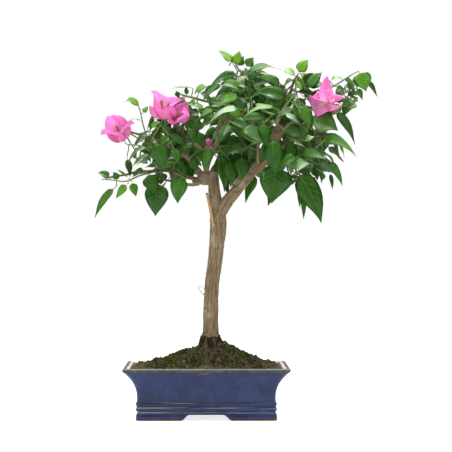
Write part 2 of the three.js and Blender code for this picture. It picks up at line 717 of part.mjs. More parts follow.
// Three papery bracts set round the end of a stalk.
function bractsOn(plant, curve, facing) {
  const axis = facing.clone().normalize();
  for (let place = 0; place < bract.count; place += 1) {
    const root = curve.getPoint(bract.firstRoot - bract.rootStep * place);
    const side = new THREE.Vector3(0.2, 0.1, 1).cross(axis).normalize();
    side.applyAxisAngle(axis, place / bract.count * 2 * Math.PI + bract.turn);
    const direction = axis.clone().multiplyScalar(bract.rise).addScaledVector(side, bract.spread);
    const frame = bladeFrame(root, direction, axis, 0);
    frame.face.copy(axis).addScaledVector(frame.along, -axis.dot(frame.along)).normalize();
    frame.across.copy(frame.face).cross(frame.along);
    if (bladeFits(plant.mass, frame, bract, true)) plant.pieces.push(bladeSolid(frame, bract));
  }
}

// A mass's stem, from just beyond its bough's tip through its middle.
function startMass(mass, number) {
  const route = curveOf(boughs.find((one) => one.name === mass.bough).route);
  const heading = route.getPoint(1).sub(route.getPoint(0.99)).normalize();
  const start = route.getPoint(1).addScaledVector(heading, seatGap);
  const centre = vector(mass.centre);
  const towards = centre.clone().sub(start);
  const end = centre.clone().add(towards.clone().setLength(meanRadius(mass) * stem.reach));
  const turn = start.clone().addScaledVector(heading, towards.length() * stem.aim);
  const stemCurve = new THREE.QuadraticBezierCurve3(start, turn, end);
  claimTwig(mass, stemCurve, cellMargin + stem.base);
  const random = seeded(seedBase + number * seedStep);
  return { mass, number, centre, stemCurve, random, pieces: [stalk(stemCurve, stem)] };
}

function addShoots(plant) {
  const { mass, stemCurve, pieces } = plant;
  const addShoot = (share, target) => {
    const curve = bowed(stemCurve.getPoint(share), vector(target), shoot.bow);
    claimTwig(mass, curve, -interleave);
    pieces.push(stalk(curve, shoot));
    return curve;
  };
  const [first, last] = onStem.shoots;
  plant.shoots = mass.shoots.map(([target], place) => addShoot(
    first + (last - first) * place / Math.max(1, mass.shoots.length - 1), target,
  ));
  plant.flowerStalks = (mass.flowers ?? []).map(([target], place) => addShoot(
    onStem.flower - onStem.flowerStep * place, target,
  ));
}

function addTwigs(plant) {
  const { mass, number, centre, stemCurve, random, pieces } = plant;
  const [first, last] = onStem.twigs;
  plant.twigs = [];
  for (let place = 0; place < mass.twigs; place += 1) {
    const height = 1 - 2 * (place + 0.5) / mass.twigs;
    const angle = place * goldenAngle + number;
    const ring = Math.sqrt(1 - height * height);
    const offset = new THREE.Vector3(ring * Math.cos(angle), ring * Math.sin(angle), height);
    offset.multiply(vector(mass.radii));
    offset.multiplyScalar(twig.reach * (twigVariation.least + twigVariation.extra * random()));
    const from = stemCurve.getPoint(first + (last - first) * (place + 0.5) / mass.twigs);
    const ends = shorterTwigs.map((share) => centre.clone().addScaledVector(offset, share));
    const curves = ends.map((end) => bowed(from, end, twig.bow));
    const fitting = curves.find((curve) => claimTwig(mass, curve, cellMargin + twig.base));
    if (fitting) {
      plant.twigs.push(fitting);
      pieces.push(stalk(fitting, twig));
    }
  }
}

function addBlossom(plant) {
  const { mass } = plant;
  mass.shoots.forEach(([, tip, width], place) => {
    aimedLeaf(plant, plant.shoots[place], vector(tip), width);
  });
  plant.flowerStalks.forEach((curve, place) => bractsOn(plant, curve, vector(mass.flowers[place][1])));
}

function addLeaves(plant) {
  plant.shoots.forEach((curve) => leavesOn(plant, curve, false));
  [plant.stemCurve, ...plant.twigs].forEach((curve) => leavesOn(plant, curve, true));
}

const clay = new THREE.MeshStandardMaterial({ color: 0x41507f, roughness: 0.25, metalness: 0 });
const earth = new THREE.MeshStandardMaterial({ color: 0x3a2d1c, roughness: 1, metalness: 0 });
const bark = new THREE.MeshStandardMaterial({ color: 0x86704f, roughness: 0.9, metalness: 0 });
const leafGreen = new THREE.MeshStandardMaterial({ color: 0x2f6b25, roughness: 0.45, metalness: 0 });

const bonsai = new THREE.Group();

function place(name, geometry, material) {
  const mesh = new THREE.Mesh(geometry, material);
  mesh.name = name;
  bonsai.add(mesh);
}

place('pot', potGeometry(), clay);
place('soil', soilGeometry(trunkSolid(seatGap)), earth);
place('trunk', outerBody(trunkSolid(0)), bark);
const grownLimbs = { trunk: trunkSolid(seatGap) };
for (const bough of boughs) {
  grownLimbs[bough.name] = boughSolid(bough, seatGap);
  let shape = boughSolid(bough, 0).subtract(grownLimbs[bough.parent]);
  if (bough.name === 'bough_right') shape = shape.subtract(sawSpace());
  place(bough.name, outerBody(shape), bark);
}
const plants = masses.map(startMass);
[addShoots, addBlossom, addTwigs, addLeaves].forEach((grow) => plants.forEach(grow));
for (const plant of plants) {
  place(plant.mass.name, outerBody(wasm.Manifold.union(plant.pieces)), leafGreen);
}

// The origin lies at the middle of the whole plant's box, at the level that the pot stands on.
const box = new THREE.Box3().setFromObject(bonsai);
bonsai.position.set(-(box.min.x + box.max.x) / 2, -(box.min.y + box.max.y) / 2, -box.min.z);

export default bonsai;
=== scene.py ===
"""A bougainvillea grown as a small bonsai, in its rectangular glazed pot.

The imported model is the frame. The pot and soil get finer surfaces, the trunk and boughs a mesh
with the relief of the bark, and each mass of foliage grows again by the source's rule, carried
on to finer twigs, leaves with stalks and ribs, and papery bracts. Lengths in this file are in
millimetres in the plant's own plan, which starts from the pot's centre, until a mesh is made.
"""

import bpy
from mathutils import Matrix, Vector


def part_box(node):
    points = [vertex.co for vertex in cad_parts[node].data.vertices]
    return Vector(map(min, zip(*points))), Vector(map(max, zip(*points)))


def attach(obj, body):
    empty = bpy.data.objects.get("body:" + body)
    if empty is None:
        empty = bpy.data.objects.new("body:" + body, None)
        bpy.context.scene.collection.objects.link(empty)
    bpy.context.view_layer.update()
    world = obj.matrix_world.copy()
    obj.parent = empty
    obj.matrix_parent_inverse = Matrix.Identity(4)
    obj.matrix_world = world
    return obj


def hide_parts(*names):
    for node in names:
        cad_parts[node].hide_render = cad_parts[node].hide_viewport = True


bl_info = {
    "name": "Potted Bougainvillea Bonsai",
    "version": (1, 0, 0),
    "blender": (4, 5, 0),
    "location": "View3D > Sidebar > Bonsai",
    "description": "Makes a flowering bougainvillea bonsai and its glazed pot, piece by piece",
    "category": "Add Mesh",
}

import math
from functools import cache

import bpy
import numpy as np
from bpy.props import FloatProperty, FloatVectorProperty, IntProperty, PointerProperty
from bpy.types import Operator, Panel, PropertyGroup

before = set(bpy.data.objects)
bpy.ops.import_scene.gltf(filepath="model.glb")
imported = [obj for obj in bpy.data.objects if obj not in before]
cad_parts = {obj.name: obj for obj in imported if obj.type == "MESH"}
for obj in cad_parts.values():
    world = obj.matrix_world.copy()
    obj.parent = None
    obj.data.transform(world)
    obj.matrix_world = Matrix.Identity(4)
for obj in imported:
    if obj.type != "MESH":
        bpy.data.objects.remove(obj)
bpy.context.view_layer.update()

METRES = 0.001
pot_low, pot_high = (np.array(corner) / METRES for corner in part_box("pot"))
PLAN_ORIGIN = np.array([(pot_low[0] + pot_high[0]) / 2, (pot_low[1] + pot_high[1]) / 2, 0.0])
UP = np.array([0.0, 0.0, 1.0])
WHITE = (1, 1, 1)
GOLDEN_ANGLE = math.pi * (3 - math.sqrt(5))

# The pot, as in the source: a profile of half lengths and heights, and four feet.
RIM_LENGTH = 200.0
RIM_DEPTH = 150.0
RIM_TOP = 62.5
LIP_UNDERSIDE = 57.5
LIP_HALF = 98.2
WAIST_TOP = 26.0
WAIST_HALF = 82.9
FLARE_POWER = 2.3
BAND_HALF = 83.9
BAND_EDGES = (10.7, 16.3, 22.4)
GROOVE_DEPTH = 1.1
FOOT_HALF = 84.1
FOOT_SPLAY = 5.0
FOOT_WIDTH = 9.0
ANKLE = 9.0
RECESS_TOP = 7.2
FLOOR_TOP = 14.0
CORNER_RADIUS = 6.0
LONG_CUT = (60.0, 41.0)
SHORT_CUT = (42.0, 26.0)
CUT_HEIGHT = 7.0
INNER_WALL = ((75.0, FLOOR_TOP), (77.0, 26.0), (84.5, 50.0), (90.5, 58.0), (92.2, 61.4))

# The soil's mound and its collar round the trunk, as in the source.
SOIL_EDGE = 58.0
MOUND_HEIGHT = 36.0
MOUND_TILT = 5.0
MOUND_REACH = (84.0, 58.0)
MOUND_CENTRE = 5.0
MOUND_STEEPNESS = 0.86
MOUND_LEAN = 0.15
COLLAR_TOP = 98.0
COLLAR_CENTRE = 4.4
COLLAR_RADII = (12.0, 17.0)
WALL_GAP = 0.35
SEAT_GAP = 0.3
SOIL_HALF = 90.5 - WALL_GAP
LUMP_HEIGHT = 2.6
LUMP_SPACING = 28.0
LUMP_WAYS = (0.4, 1.5, 2.3)
LUMP_FADE = 14.0

# What the finer soil adds: a bank near the wall, and a grid with its wall and base.
BANK_HEIGHT = 3.4
CRUMB_BASE = 1.6
SOIL_GRID = (230, 168)
SOIL_REACH = 2.6
BASE_HALF = 74.5
WALL_RINGS = ((0.4, 36.0), (0.0, FLOOR_TOP + SEAT_GAP))
GRAIN_CORNERS = (
    (1, 0, 0), (0.6, 0.7, 0.1), (-0.5, 0.8, 0), (-1, 0, 0.1), (-0.6, -0.8, 0), (0.5, -0.7, 0.1),
    (0, 0, 1), (0, 0, -1))
TUFT_FACES = ((0, 1, 4), (1, 2, 4), (2, 3, 4), (3, 0, 4), (0, 3, 1), (1, 3, 2))
FIBRE_FIELD = (84.0, 58.0)

# Marks on the pot's front: place, half sizes and colour.
BLEMISHES = (
    ((-2.5, -73, 56.8), (8, 6, 1.5), (0.075, 0.048, 0.03)),
    ((70.7, -64, 32.5), (1.0, 6, 1.3), (0.004, 0.004, 0.008)),
)

# Limbs: the trunk's centre line as x, y, z and radius, and each bough as its parent, its radius
# at the base and the tip, and its route.
TRUNK_LINE = (
    (4.4, 0, 94.7, 11.8), (4.6, 0, 102, 10.2), (5.2, 0, 125, 9.6), (5.7, 0, 149, 9.4),
    (10.1, 0, 185, 9.2), (12.2, 0, 210, 9.5), (13.6, 0, 238, 10.2), (12, 0, 257, 8.6),
    (10, 0, 272, 7.2), (7.9, 0, 299, 6.2),
)
BURL_CENTRE = (-3.0, 0.0, 290.0)
BURL_SIZE = (9.0, 8.0, 8.5)
STICK = ((9.0, -7.5, 229.0), (0.1, -13.0, 272.0))
STICK_RADII = (1.9, 1.5)
BOUGHS = {
    "bough_right": (8.6, 5.4, (
        (12, 0, 238), (20, -3, 254), (39, -10, 279), (57, -17, 300), (73, -24, 316), (90, -33, 355))),
    "bough_upright": (3.3, 2.2, (
        (-2, 0, 293), (2, 0, 309), (12, 0, 333), (15, 0, 353), (23, 0, 378))),
    "bough_left_low": (2.6, 1.9, ((-4, 1, 288), (-24, 7, 292), (-48, 11, 300), (-80, 4, 298))),
    "bough_left_front": (2.4, 1.9, ((-5, -3, 286), (-18, -12, 282), (-34, -18, 284))),
    "bough_left_high": (2.6, 1.9, ((-5, 1, 293), (-26, 3, 318), (-46, 4, 330), (-67, 3, 339))),
    "bough_left_mid": (2.2, 1.8, ((7.5, 0, 322), (-10, -3, 329), (-22, -8, 338))),
    "bough_front": (2.2, 1.8, ((11.5, 0, 331), (13, -14, 338), (16, -28, 346))),
    "bough_back_centre": (2.2, 1.8, ((14.5, 0, 346), (20, 22, 352), (28, 44, 360))),
    "bough_back_left": (2.6, 1.9, ((-3, 4, 292), (-12, 20, 305), (-26, 40, 320))),
    "bough_fork": (2.3, 1.8, ((45, -12, 286), (44, 6, 296), (42, 22, 304))),
    "bough_right_front": (2.3, 1.8, ((63, -20, 306), (62, -34, 315), (62, -44, 324))),
    "bough_right_low": (2.6, 1.9, ((58, -17, 301), (76, -14, 298), (92, -10, 294))),
    "bough_right_mid": (2.4, 1.8, ((72, -23, 315), (88, -24, 325), (104, -25, 334))),
    "bough_right_outer": (2.8, 1.9, ((77, -26, 324), (98, -4, 352), (124, 3, 372), (148, 5, 382))),
    "bough_right_top": (2.6, 1.9, ((82, -29, 336), (86, -12, 356), (94, -3, 376))),
    "bough_back_right": (2.6, 1.9, ((66, -21, 309), (74, 8, 316), (86, 34, 326))),
}
SAW_POINT = np.array([87.5, -34.0, 347.0])
SAW_FACING = np.array([-0.12, -0.8, 0.6]) / math.hypot(0.12, 0.8, 0.6)
OPEN_VIEW_WAYS = (12, 24, 36, 48, 60)
OPEN_VIEW_RADIUS = 6.0

# Wood that the source leaves out: broken stubs as start, end and radii, scars as centre and size,
# the peeled stub on the heavy bough, and the curled dead twig.
STUBS = (
    ((-9, -3, 286), (-17.5, -5, 286.5), 2.3, 1.7),
    ((-9, -1, 283), (-18, -3, 281), 2.0, 1.3),
    ((-60, 3, 299), (-64, -3, 300), 3.2, 2.6),
)
SCARS = (
    ((11, -7.5, 229), (5, 3, 4.5)), ((10.2, -8.5, 205), (3.5, 1.6, 2.2)), ((6, 7.5, 170), (3, 2.5, 4)))
PEELED_STUB = ((51.5, -19, 300), (51.5, -22, 311), (52.5, -23, 321), (56, -24, 329))
DEAD_TWIG = (
    (-0.5, -8.0, 146), (-6.0, -9.5, 151), (-10.0, -10.0, 156.5), (-9.0, -10.5, 158.6),
    (-5.5, -10.0, 157.5), (-2.5, -9.0, 155.5))

# Masses of foliage: bough, centre, radii, droop of the leaves, shoots as end, leaf tip and leaf
# width, and flowers as their place and the way that they face.
MASSES = (
    ("foliage_left_tip", "bough_left_low", (-102, 0, 294), (34, 44, 30), 0.5,
     (((-128, -4, 291), (-136, -6, 242), 12), ((-108, -6, 291), (-111, -8, 265), 10)), ()),
    ("foliage_left_low", "bough_left_front", (-50, -18, 288), (34, 46, 32), 0.55,
     (((-64, -20, 287), (-62, -26, 245), 23), ((-44, -24, 290), (-36, -28, 262), 17)), ()),
    ("foliage_left_upper", "bough_left_high", (-88, 2, 345), (36, 46, 36), 0.4,
     (((-82, -4, 374), (-97, -8, 379), 9),), (((-104, -14, 346), (-0.45, -0.85, 0.1)),)),
    ("foliage_left_mid", "bough_left_mid", (-38, -6, 354), (38, 50, 38), 0.4,
     (((-20, -12, 386), (4, -16, 388), 9),),
     (((-42, -26, 370), (0.25, -0.9, 0.3)), ((-58, -18, 372), (-0.5, -0.7, 0.5)))),
    ("foliage_front", "bough_front", (24, -42, 358), (40, 42, 38), 0.5, (), ()),
    ("foliage_top", "bough_upright", (38, 0, 408), (42, 46, 38), 0.2,
     (((35, -2, 428), (14, -4, 446), 9), ((40, 0, 430), (41, -2, 447), 8),
      ((46, -2, 416), (76, -6, 427), 10)), ()),
    ("foliage_back_centre", "bough_back_centre", (38, 66, 366), (44, 44, 42), 0.5, (), ()),
    ("foliage_back_left", "bough_back_left", (-40, 60, 330), (44, 44, 42), 0.5, (), ()),
    ("foliage_fork", "bough_fork", (38, 38, 314), (36, 34, 36), 0.6, (), ()),
    ("foliage_right_low", "bough_right_low", (116, -8, 292), (46, 48, 36), 0.6,
     (((112, -22, 297), (140, -26, 237), 24), ((116, -10, 284), (117, -16, 241), 11),
      ((84, -22, 304), (76, -30, 257), 20), ((98, -26, 300), (92, -32, 262), 20)), ()),
    ("foliage_right_front", "bough_right_front", (66, -58, 344), (34, 32, 40), 0.6, (), ()),
    ("foliage_right_mid", "bough_right_mid", (130, -26, 338), (46, 46, 36), 0.6,
     (((158, -22, 330), (183, -24, 318), 12), ((134, -34, 366), (158, -38, 340), 24)), ()),
    ("foliage_right_top", "bough_right_top", (102, 0, 396), (44, 48, 38), 0.25,
     (((110, -6, 420), (124, -8, 435), 9), ((126, -4, 412), (142, -6, 421), 10)),
     (((140, -22, 390), (0.2, -0.75, 0.6)),)),
    ("foliage_right_shoot", "bough_right_outer", (172, 4, 384), (38, 40, 38), 0.4,
     (((178, 0, 415), (194, -2, 400), 14), ((182, 4, 404), (208, 2, 391), 8),
      ((162, -6, 374), (182, -10, 333), 9)), ()),
    ("foliage_back_right", "bough_back_right", (108, 60, 340), (44, 44, 42), 0.5, (), ()),
)
TWIGS_A_MASS = 6

# The photo's size and camera: its focal length in pixels, its aim, and where the plan's origin
# and the camera's height lie in the photo.
PHOTO_SIZE = 452
FOCAL_PIXELS = 1730.0
CAMERA_DISTANCE = 2115.0
CAMERA_HEIGHT = 212.5
CAMERA_AIM = (23.8, 0, 232.0)
ORIGIN_COLUMN = 206.5
HORIZON_ROW = 242.0

# Twigs that show, as photo pixels along them, depth behind the trunk's plane and end radii.
SEEN_TWIGS = (
    (((156, 164), (149, 143), (142, 121), (139.6, 111), (138, 103.6)), -10, (1.0, 0.5)),
    (((157, 171), (140.5, 175.8), (126.7, 181.6), (113, 180.5), (101.5, 179.3)), -6, (1.1, 0.5)),
    (((219, 105), (200, 99.6), (181.8, 95)), -20, (1.5, 1.3)),
    (((302, 102), (312.5, 93), (332, 85.7), (352, 74.5)), -4, (1.3, 0.8)),
    (((338, 97), (344.6, 89.3), (354.5, 79.5)), 0, (0.9, 0.6)),
    (((252, 88), (242, 75), (236, 66.5), (233.4, 61)), -2, (1.2, 0.7)),
    (((305, 96), (303.4, 83), (300.6, 72.6)), -6, (0.8, 0.5)),
    (((152, 152), (140.5, 146.5), (126, 144)), -20, (0.9, 0.6)),
    (((151, 142), (157, 129), (163.6, 118.5)), -28, (0.9, 0.7)),
    (((268, 130), (275, 121), (286, 106), (295.6, 93)), -52, (1.1, 0.8)),
    (((252, 118), (251.6, 108), (251.2, 98)), -46, (0.9, 0.7)),
    (((309.5, 110.3), (318, 107.5), (328.5, 103)), -52, (0.9, 0.8)),
)

# Leaves that show: columns and rows of root and tip, depth, width, droop and colour.
SEEN_LEAVES = (
    # The sprig at the top and the long leaves under it
    (234, 63, 218.4, 50.2, -2, 14, 0.1, "young"), (234.6, 66, 239.6, 50.8, -4, 12, 0.1, "young"),
    (237, 67, 244, 56, 2, 12, 0.2, "full"), (246, 68, 253.6, 57.4, -12, 11, 0.2, "full"),
    (243, 75, 279.5, 69.4, -8, 15, 0.62, "full"), (241, 77, 208.6, 89.4, -16, 11, 0.8, "deep"),
    (248.5, 99, 213, 91, -34, 13, 1.1, "full"), (241, 99, 216.7, 108.5, -40, 13, 0.9, "fresh"),
    (243, 110, 202.6, 131, -54, 17, 0.75, "full"), (216, 110, 193.3, 125.5, -48, 13, 0.6, "full"),
    (193, 88.5, 169, 90, -18, 4, 0.5, "fresh"), (207, 86, 194, 94.5, -22, 10, 0.5, "fresh"),
    (198.5, 92.6, 212, 104.5, -26, 11, 0.5, "deep"), (187, 96, 186, 86, -16, 5, 0.1, "full"),
    (176, 90.8, 179, 98.5, -14, 6, 0.1, "full"), (206, 111, 186.8, 105, -34, 10, 0.6, "fresh"),
    (188, 128, 196.5, 144, -44, 13, 0.3, "deep"), (199, 131, 204, 151, -36, 11, 0.3, "deep"),
    (168, 134, 186, 146, -38, 12, 0.4, "deep"),
    # The upright twig at the left
    (140.4, 109.5, 124.3, 102.6, -10, 8, 1.3, "young"), (142, 121.5, 127.8, 121.5, -12, 5, 0.8, "young"),
    (142.5, 113.5, 147.8, 106.4, -8, 7, 0.2, "fresh"), (149, 130, 161, 122, -14, 7, 0.6, "fresh"),
    (149.5, 134, 132.8, 148.2, -16, 10, 0.5, "deep"), (149.5, 148.5, 125.4, 167.6, -22, 10, 0.9, "fresh"),
    (152, 155, 131.5, 167, -26, 9, 0.7, "fresh"), (127, 157, 130, 177.5, -10, 8, 0.2, "deep"),
    # The twig at the lower left
    (110.5, 179, 98.3, 172.3, -8, 10, 0.3, "full"), (118.5, 180.8, 113, 172.2, -4, 8, 0.2, "full"),
    (129, 178.5, 116.5, 168.8, -6, 4, 0.2, "fresh"), (116.6, 186, 94.5, 218.4, -6, 11, 0.3, "full"),
    (128, 184, 115.6, 198.7, -8, 9, 0.3, "fresh"), (131.5, 181.8, 136, 196.9, -4, 10, 0.2, "fresh"),
    (145, 170, 132.3, 177.3, -14, 10, 0.5, "full"),
    # Hanging leaves at the left
    (158, 179, 155.4, 216.2, -28, 26, 0.05, "deep"), (146, 173.5, 157.5, 195, -36, 18, 0.3, "deep"),
    (161, 171, 161, 185, -20, 15, 0.2, "deep"), (181, 173.5, 177.8, 203.8, -26, 19, 0.1, "full"),
    (155, 140, 163.8, 171.5, -42, 21, 0.2, "deep"), (184, 156, 166, 160.5, -34, 11, 0.3, "deep"),
    (176, 160, 186, 179, -30, 15, 0.3, "deep"), (209.5, 146, 204, 171.2, -32, 13, 0.2, "full"),
    (196, 99, 187.5, 110, -30, 10, 0.4, "full"), (201, 112, 187, 119, -36, 11, 0.5, "deep"),
    (172, 136, 159.5, 146, -34, 11, 0.4, "full"), (163, 127, 171, 138, -30, 10, 0.3, "fresh"),
    (196, 142, 181, 152, -40, 12, 0.4, "deep"), (190, 158, 196.5, 172, -34, 12, 0.2, "deep"),
    (173, 148, 179, 164, -40, 13, 0.3, "full"), (200, 150, 190, 162, -30, 11, 0.3, "deep"),
    # Leaves in the crotch
    (247, 146.5, 226, 155, -38, 15, 0.4, "deep"), (241, 154, 242.7, 180, -34, 18, 0.1, "deep"),
    (221, 151, 224.5, 193, -20, 16, 0.2, "deep"), (229, 159, 233, 186, -26, 15, 0.2, "deep"),
    (256, 172, 245.2, 203.5, 14, 13, 0.3, "full"), (234, 150, 236.5, 180, -8, 18, 0.1, "deep"),
    (243, 150, 238, 172, -2, 18, 0.2, "deep"), (223, 160, 229, 196, -6, 14, 0.1, "deep"),
    (230, 145, 221, 163, -14, 13, 0.2, "full"),
    # The middle of the front
    (283, 86, 258.5, 77, -20, 13, 0.4, "full"), (270, 76, 279.5, 92.8, -24, 11, 0.4, "deep"),
    (249, 81, 256.5, 74, -16, 9, 0.3, "deep"), (262, 92, 253, 84, -26, 10, 0.3, "full"),
    (290, 101, 255.3, 92.8, -42, 18, 0.4, "deep"), (279, 110, 240, 121.5, -56, 8, 0.8, "fresh"),
    (268, 119.5, 241, 120.5, -50, 12, 0.5, "full"), (240, 127, 267, 147, -72, 23, 0.4, "deep"),
    (263, 121, 268.5, 147.5, -66, 15, 0.2, "deep"), (298, 104, 310, 129.6, -50, 19, 0.3, "full"),
    (283, 114, 301, 125, -58, 13, 0.4, "full"), (283, 129, 303.5, 139, -54, 16, 0.4, "deep"),
    (288, 103, 296, 93.5, -46, 10, 0.3, "deep"), (304, 141, 314.5, 136.6, -50, 11, 0.3, "fresh"),
    (290, 139, 292, 161, -44, 13, 0.2, "deep"), (272, 136, 275.5, 173.2, -64, 21, 0.1, "deep"),
    # The sprig at the upper right and the shoot that ends the crown
    (297, 77, 279.6, 69, -6, 13, 0.3, "young"), (297.6, 74, 308.4, 59.4, -8, 13, 0.1, "young"),
    (294.3, 79.5, 303, 90.3, -12, 7, 0.2, "young"), (305.5, 91, 321.8, 71.8, -8, 14, 0.3, "full"),
    (303, 85, 313.5, 72.7, -2, 10, 0.3, "deep"), (294, 79, 281.5, 92.8, -16, 8, 0.8, "full"),
    (359, 71, 366.6, 91.5, 0, 22, 0.35, "fresh"), (367, 80.5, 377.6, 97, 2, 6, 0.6, "deep"),
    (357, 100, 343, 117, -6, 22, 0.4, "full"), (356, 88, 362.8, 99.9, 0, 8, 0.3, "full"),
    (347.5, 91.5, 354, 97.3, -2, 7, 0.3, "deep"), (345, 88, 335.6, 94.2, 2, 12, 0.3, "full"),
    (330, 80.5, 343.6, 79.3, 2, 7, 0.5, "fresh"),
    # Leaves at the right
    (308.5, 122, 338.3, 130, -30, 34, 0.3, "full"), (333.5, 113, 355.4, 145.3, -10, 12, 0.75, "deep"),
    (316, 143, 356.6, 156.2, -20, 16, 0.8, "fresh"), (326, 146, 344.3, 163, -14, 14, 0.5, "full"),
    (297, 157, 329.5, 163, -48, 14, 0.8, "full"), (327.5, 160, 342.6, 186.5, -16, 10, 0.4, "full"),
    (313.8, 163, 338, 177.5, -32, 13, 0.5, "deep"), (330, 172, 332.7, 189.5, -12, 5, 0.1, "deep"),
    (316, 168, 317.3, 181, -14, 6, 0.1, "deep"), (320.5, 171, 321.7, 184, -10, 4, 0.1, "full"),
    # Hanging leaves at the right
    (295.5, 169.5, 321.8, 223.2, -42, 27, 0.25, "deep"), (299, 183, 300, 208.6, -30, 5, 0.1, "full"),
    (303, 192, 303.4, 219.7, -26, 6, 0.1, "full"), (297.7, 178.3, 290, 185, -34, 8, 0.2, "fresh"),
    (277, 162, 271.8, 203.5, -46, 36, 0.1, "deep"), (281, 164, 267.8, 206.2, -38, 22, 0.2, "deep"),
    (299, 156.5, 275.6, 173.4, -54, 13, 0.5, "full"),
)

# Flowers that show: the base as photo pixels and depth, and each bract's tip, depth and width.
SEEN_FLOWERS = (
    ((124.5, 141), -22, (
        ((110.5, 115.2), -12, 27), ((100.8, 134.7), -38, 21), ((131.9, 122.2), -42, 22))),
    ((163, 119.5), -30, (
        ((152.2, 90), -18, 26), ((183.2, 98.8), -20, 25), ((159.5, 110), -54, 32))),
    ((173.5, 120), -30, (
        ((187.2, 103.6), -24, 22), ((189.4, 117), -40, 27), ((168, 123), -44, 19))),
    ((329, 103), -48, (
        ((326.5, 77.8), -34, 18), ((312.5, 97.5), -28, 24), ((317.5, 115.5), -26, 38),
        ((343.8, 97.2), -30, 12))),
    ((208, 149), 8, (((202.6, 141), 4, 11), ((213.4, 141), 6, 11), ((208, 138.5), 14, 9))),
)

# Where the photo shows leaves: the crown's outline in photo pixels, and the gaps in it as
# columns, rows and half sizes.
CROWN_OUTLINE = (
    (133, 145), (125, 161), (124, 175), (139, 178), (146, 186), (149, 203), (155.5, 213), (164, 185),
    (173, 186), (178, 201), (187, 183), (196, 180), (203, 178), (222, 184), (226, 192), (236, 190),
    (247, 187), (259, 172), (260, 184), (268, 204), (273, 201), (289, 174), (297, 176), (302, 186),
    (309, 200), (320, 212), (322, 198), (316, 182), (326, 178), (339, 181), (337, 165), (345, 162),
    (351, 155), (338, 140), (336, 124), (344, 124), (352, 132), (350, 118), (358, 110), (362, 100),
    (371, 90), (369, 73), (355, 73), (346, 80), (334, 79), (322, 74), (308, 63), (297, 70), (288, 74),
    (280, 72), (262, 64), (254, 60), (240, 55), (224, 53), (231, 64), (238, 72), (226, 75), (210, 88),
    (195, 88), (184, 90), (180, 98), (172, 102), (163, 108), (150, 112), (149, 121), (143, 112),
    (137, 104), (127, 104), (139, 113), (143, 124), (146, 134))
SKY_GAPS = (
    (211.5, 165, 3, 6), (206.5, 129.5, 5.5, 4), (232, 135, 6, 5), (185, 153.5, 3, 3),
    (174.7, 146, 4, 2), (167.5, 152, 2, 2.5), (195, 178, 4, 4), (226, 103, 4, 2.5), (237, 89.5, 3, 2),
    (243.5, 102, 3, 2), (270.5, 87.5, 4, 5), (290.5, 87, 7, 5), (298, 96.5, 4, 3), (260, 70, 8, 3),
    (284, 75, 5, 3), (286.5, 154.5, 2.5, 2), (247.5, 68, 4, 3.5), (240.5, 66, 2.5, 3),
    (325, 84, 5, 3), (341.5, 84.5, 3, 2), (200, 105.5, 9, 2.5), (191, 93.5, 4, 2.5), (338, 113, 2, 3),
    (138, 166.5, 3, 2))

MASS_NAMES = [mass[0] for mass in MASSES]
CENTRES = np.array([mass[2] for mass in MASSES], float)
MEAN_RADII = np.array([sum(mass[3]) / 3 for mass in MASSES])

# The growth rule's values, as in the source.
SEED_BASE = 116
SEED_STEP = 17
STEM_BASE = 1.8
STEM_REACH = 0.6
STEM_AIM = 0.4
TWIG_BASE = 1.3
TWIG_REACH = 0.9
SHOOT_BOW = 0.08
TWIG_LEAST = 0.85
TWIG_EXTRA = 0.3
SHORTER_TWIGS = (1, 0.85, 0.7, 0.55)
SHOOTS_ON_STEM = (0.35, 0.85)
TWIGS_ON_STEM = (0.25, 0.95)
FLOWER_ON_STEM = 0.7
FLOWER_STEP = 0.2
ENVELOPE = 1.25
CELL_MARGIN = 0.4
CLEARANCE = 3.0
INTERLEAVE = 18.0
CHECK_SPACING = 2.5
TWIG_FREE_START = 6.0
TWIG_MARGIN = 0.8
ROOT_MARGIN = 1.2
BLADE_MARGIN = 2.6
BLADE_STEPS = 10
BLADE_SIDES = (-1, -0.5, 0, 0.5, 1)
SHORTEST_LEAF = 30.0
LONGEST_LEAF = 46.0
LEAF_WIDTH = 0.54
LEAF_ROOT = 0.6
LEAF_FOLD = 0.1
LEAF_DROOP = 0.22
LEAF_SPACING = 6.8
FIRST_LEAF = 0.3
LAST_LEAF = 0.92
END_LEAF = 0.96
WIDEST = 0.42
OUTLOOK = 1.7
TRIES = 9
TURN_AGAIN = 1.1
SHRINK_AGAIN = 0.94
CROWN_MIDDLE = np.array([40.0, 0.0, 0.0])
BRACT_LENGTH = 25.0
BRACT_WIDTH = 19.0
BRACT_SPREAD = 0.9
BRACT_RISE = 0.62
BRACT_TURN = 0.5
BRACT_FOLD = 0.25
BRACT_DROOP = 0.05

# Finer twigs: how clear their leaves stay, where they leave a twig, and their leaves' sizes.
FINER_CLEARANCE = 1.2
FINER_SHARES = (0.4, 0.62, 0.85)
FINER_LENGTH = 20.0
FINER_SPACING = 8.0
FINER_LEAVES = (26.0, 42.0)

# How what grows gives way to what the photo shows, and how the latter is set and joined.
SEEN_ROLL = 0.3
SEEN_WIDENING = 1.12
SKY_SHARE = 0.2
BARE_REACH = 2.5
JOIN_BOW = 0.05

# The meshes of leaves and bracts. A blade's limits are those of its sideways sweep, curl of the
# tip, fold along the rib, droop of the edges, waves and where they start, twist, unevenness of the
# halves, and the strength of its painted sheen, a pale highlight painted where it faces the sky.
LEAF_ROWS = 10
LEAF_COLUMNS = 5
STALK_SHARE = 0.13
END_HALF = 0.05
BLADE_LIMITS = (
    (-0.10, 0.10), (-0.02, 0.09), (0.2, 0.5), (0.12, 0.36), (0.02, 0.10), (0, 2 * math.pi),
    (-0.35, 0.35), (-0.06, 0.06), (0, 1))
# Painted sheen: where a leaf faces the sky, a pale colour is painted on it as a highlight.
PAINTED_SHEEN_FACING = (0.5, 0.95)
PAINTED_SHEEN_SHARE = 0.75
BRACT_ROWS = 22
BRACT_COLUMNS = 15
BRACT_THICKNESS = 0.22

WORD = 0xFFFFFFFF
WORD_RANGE = 4294967296


# Plain maths

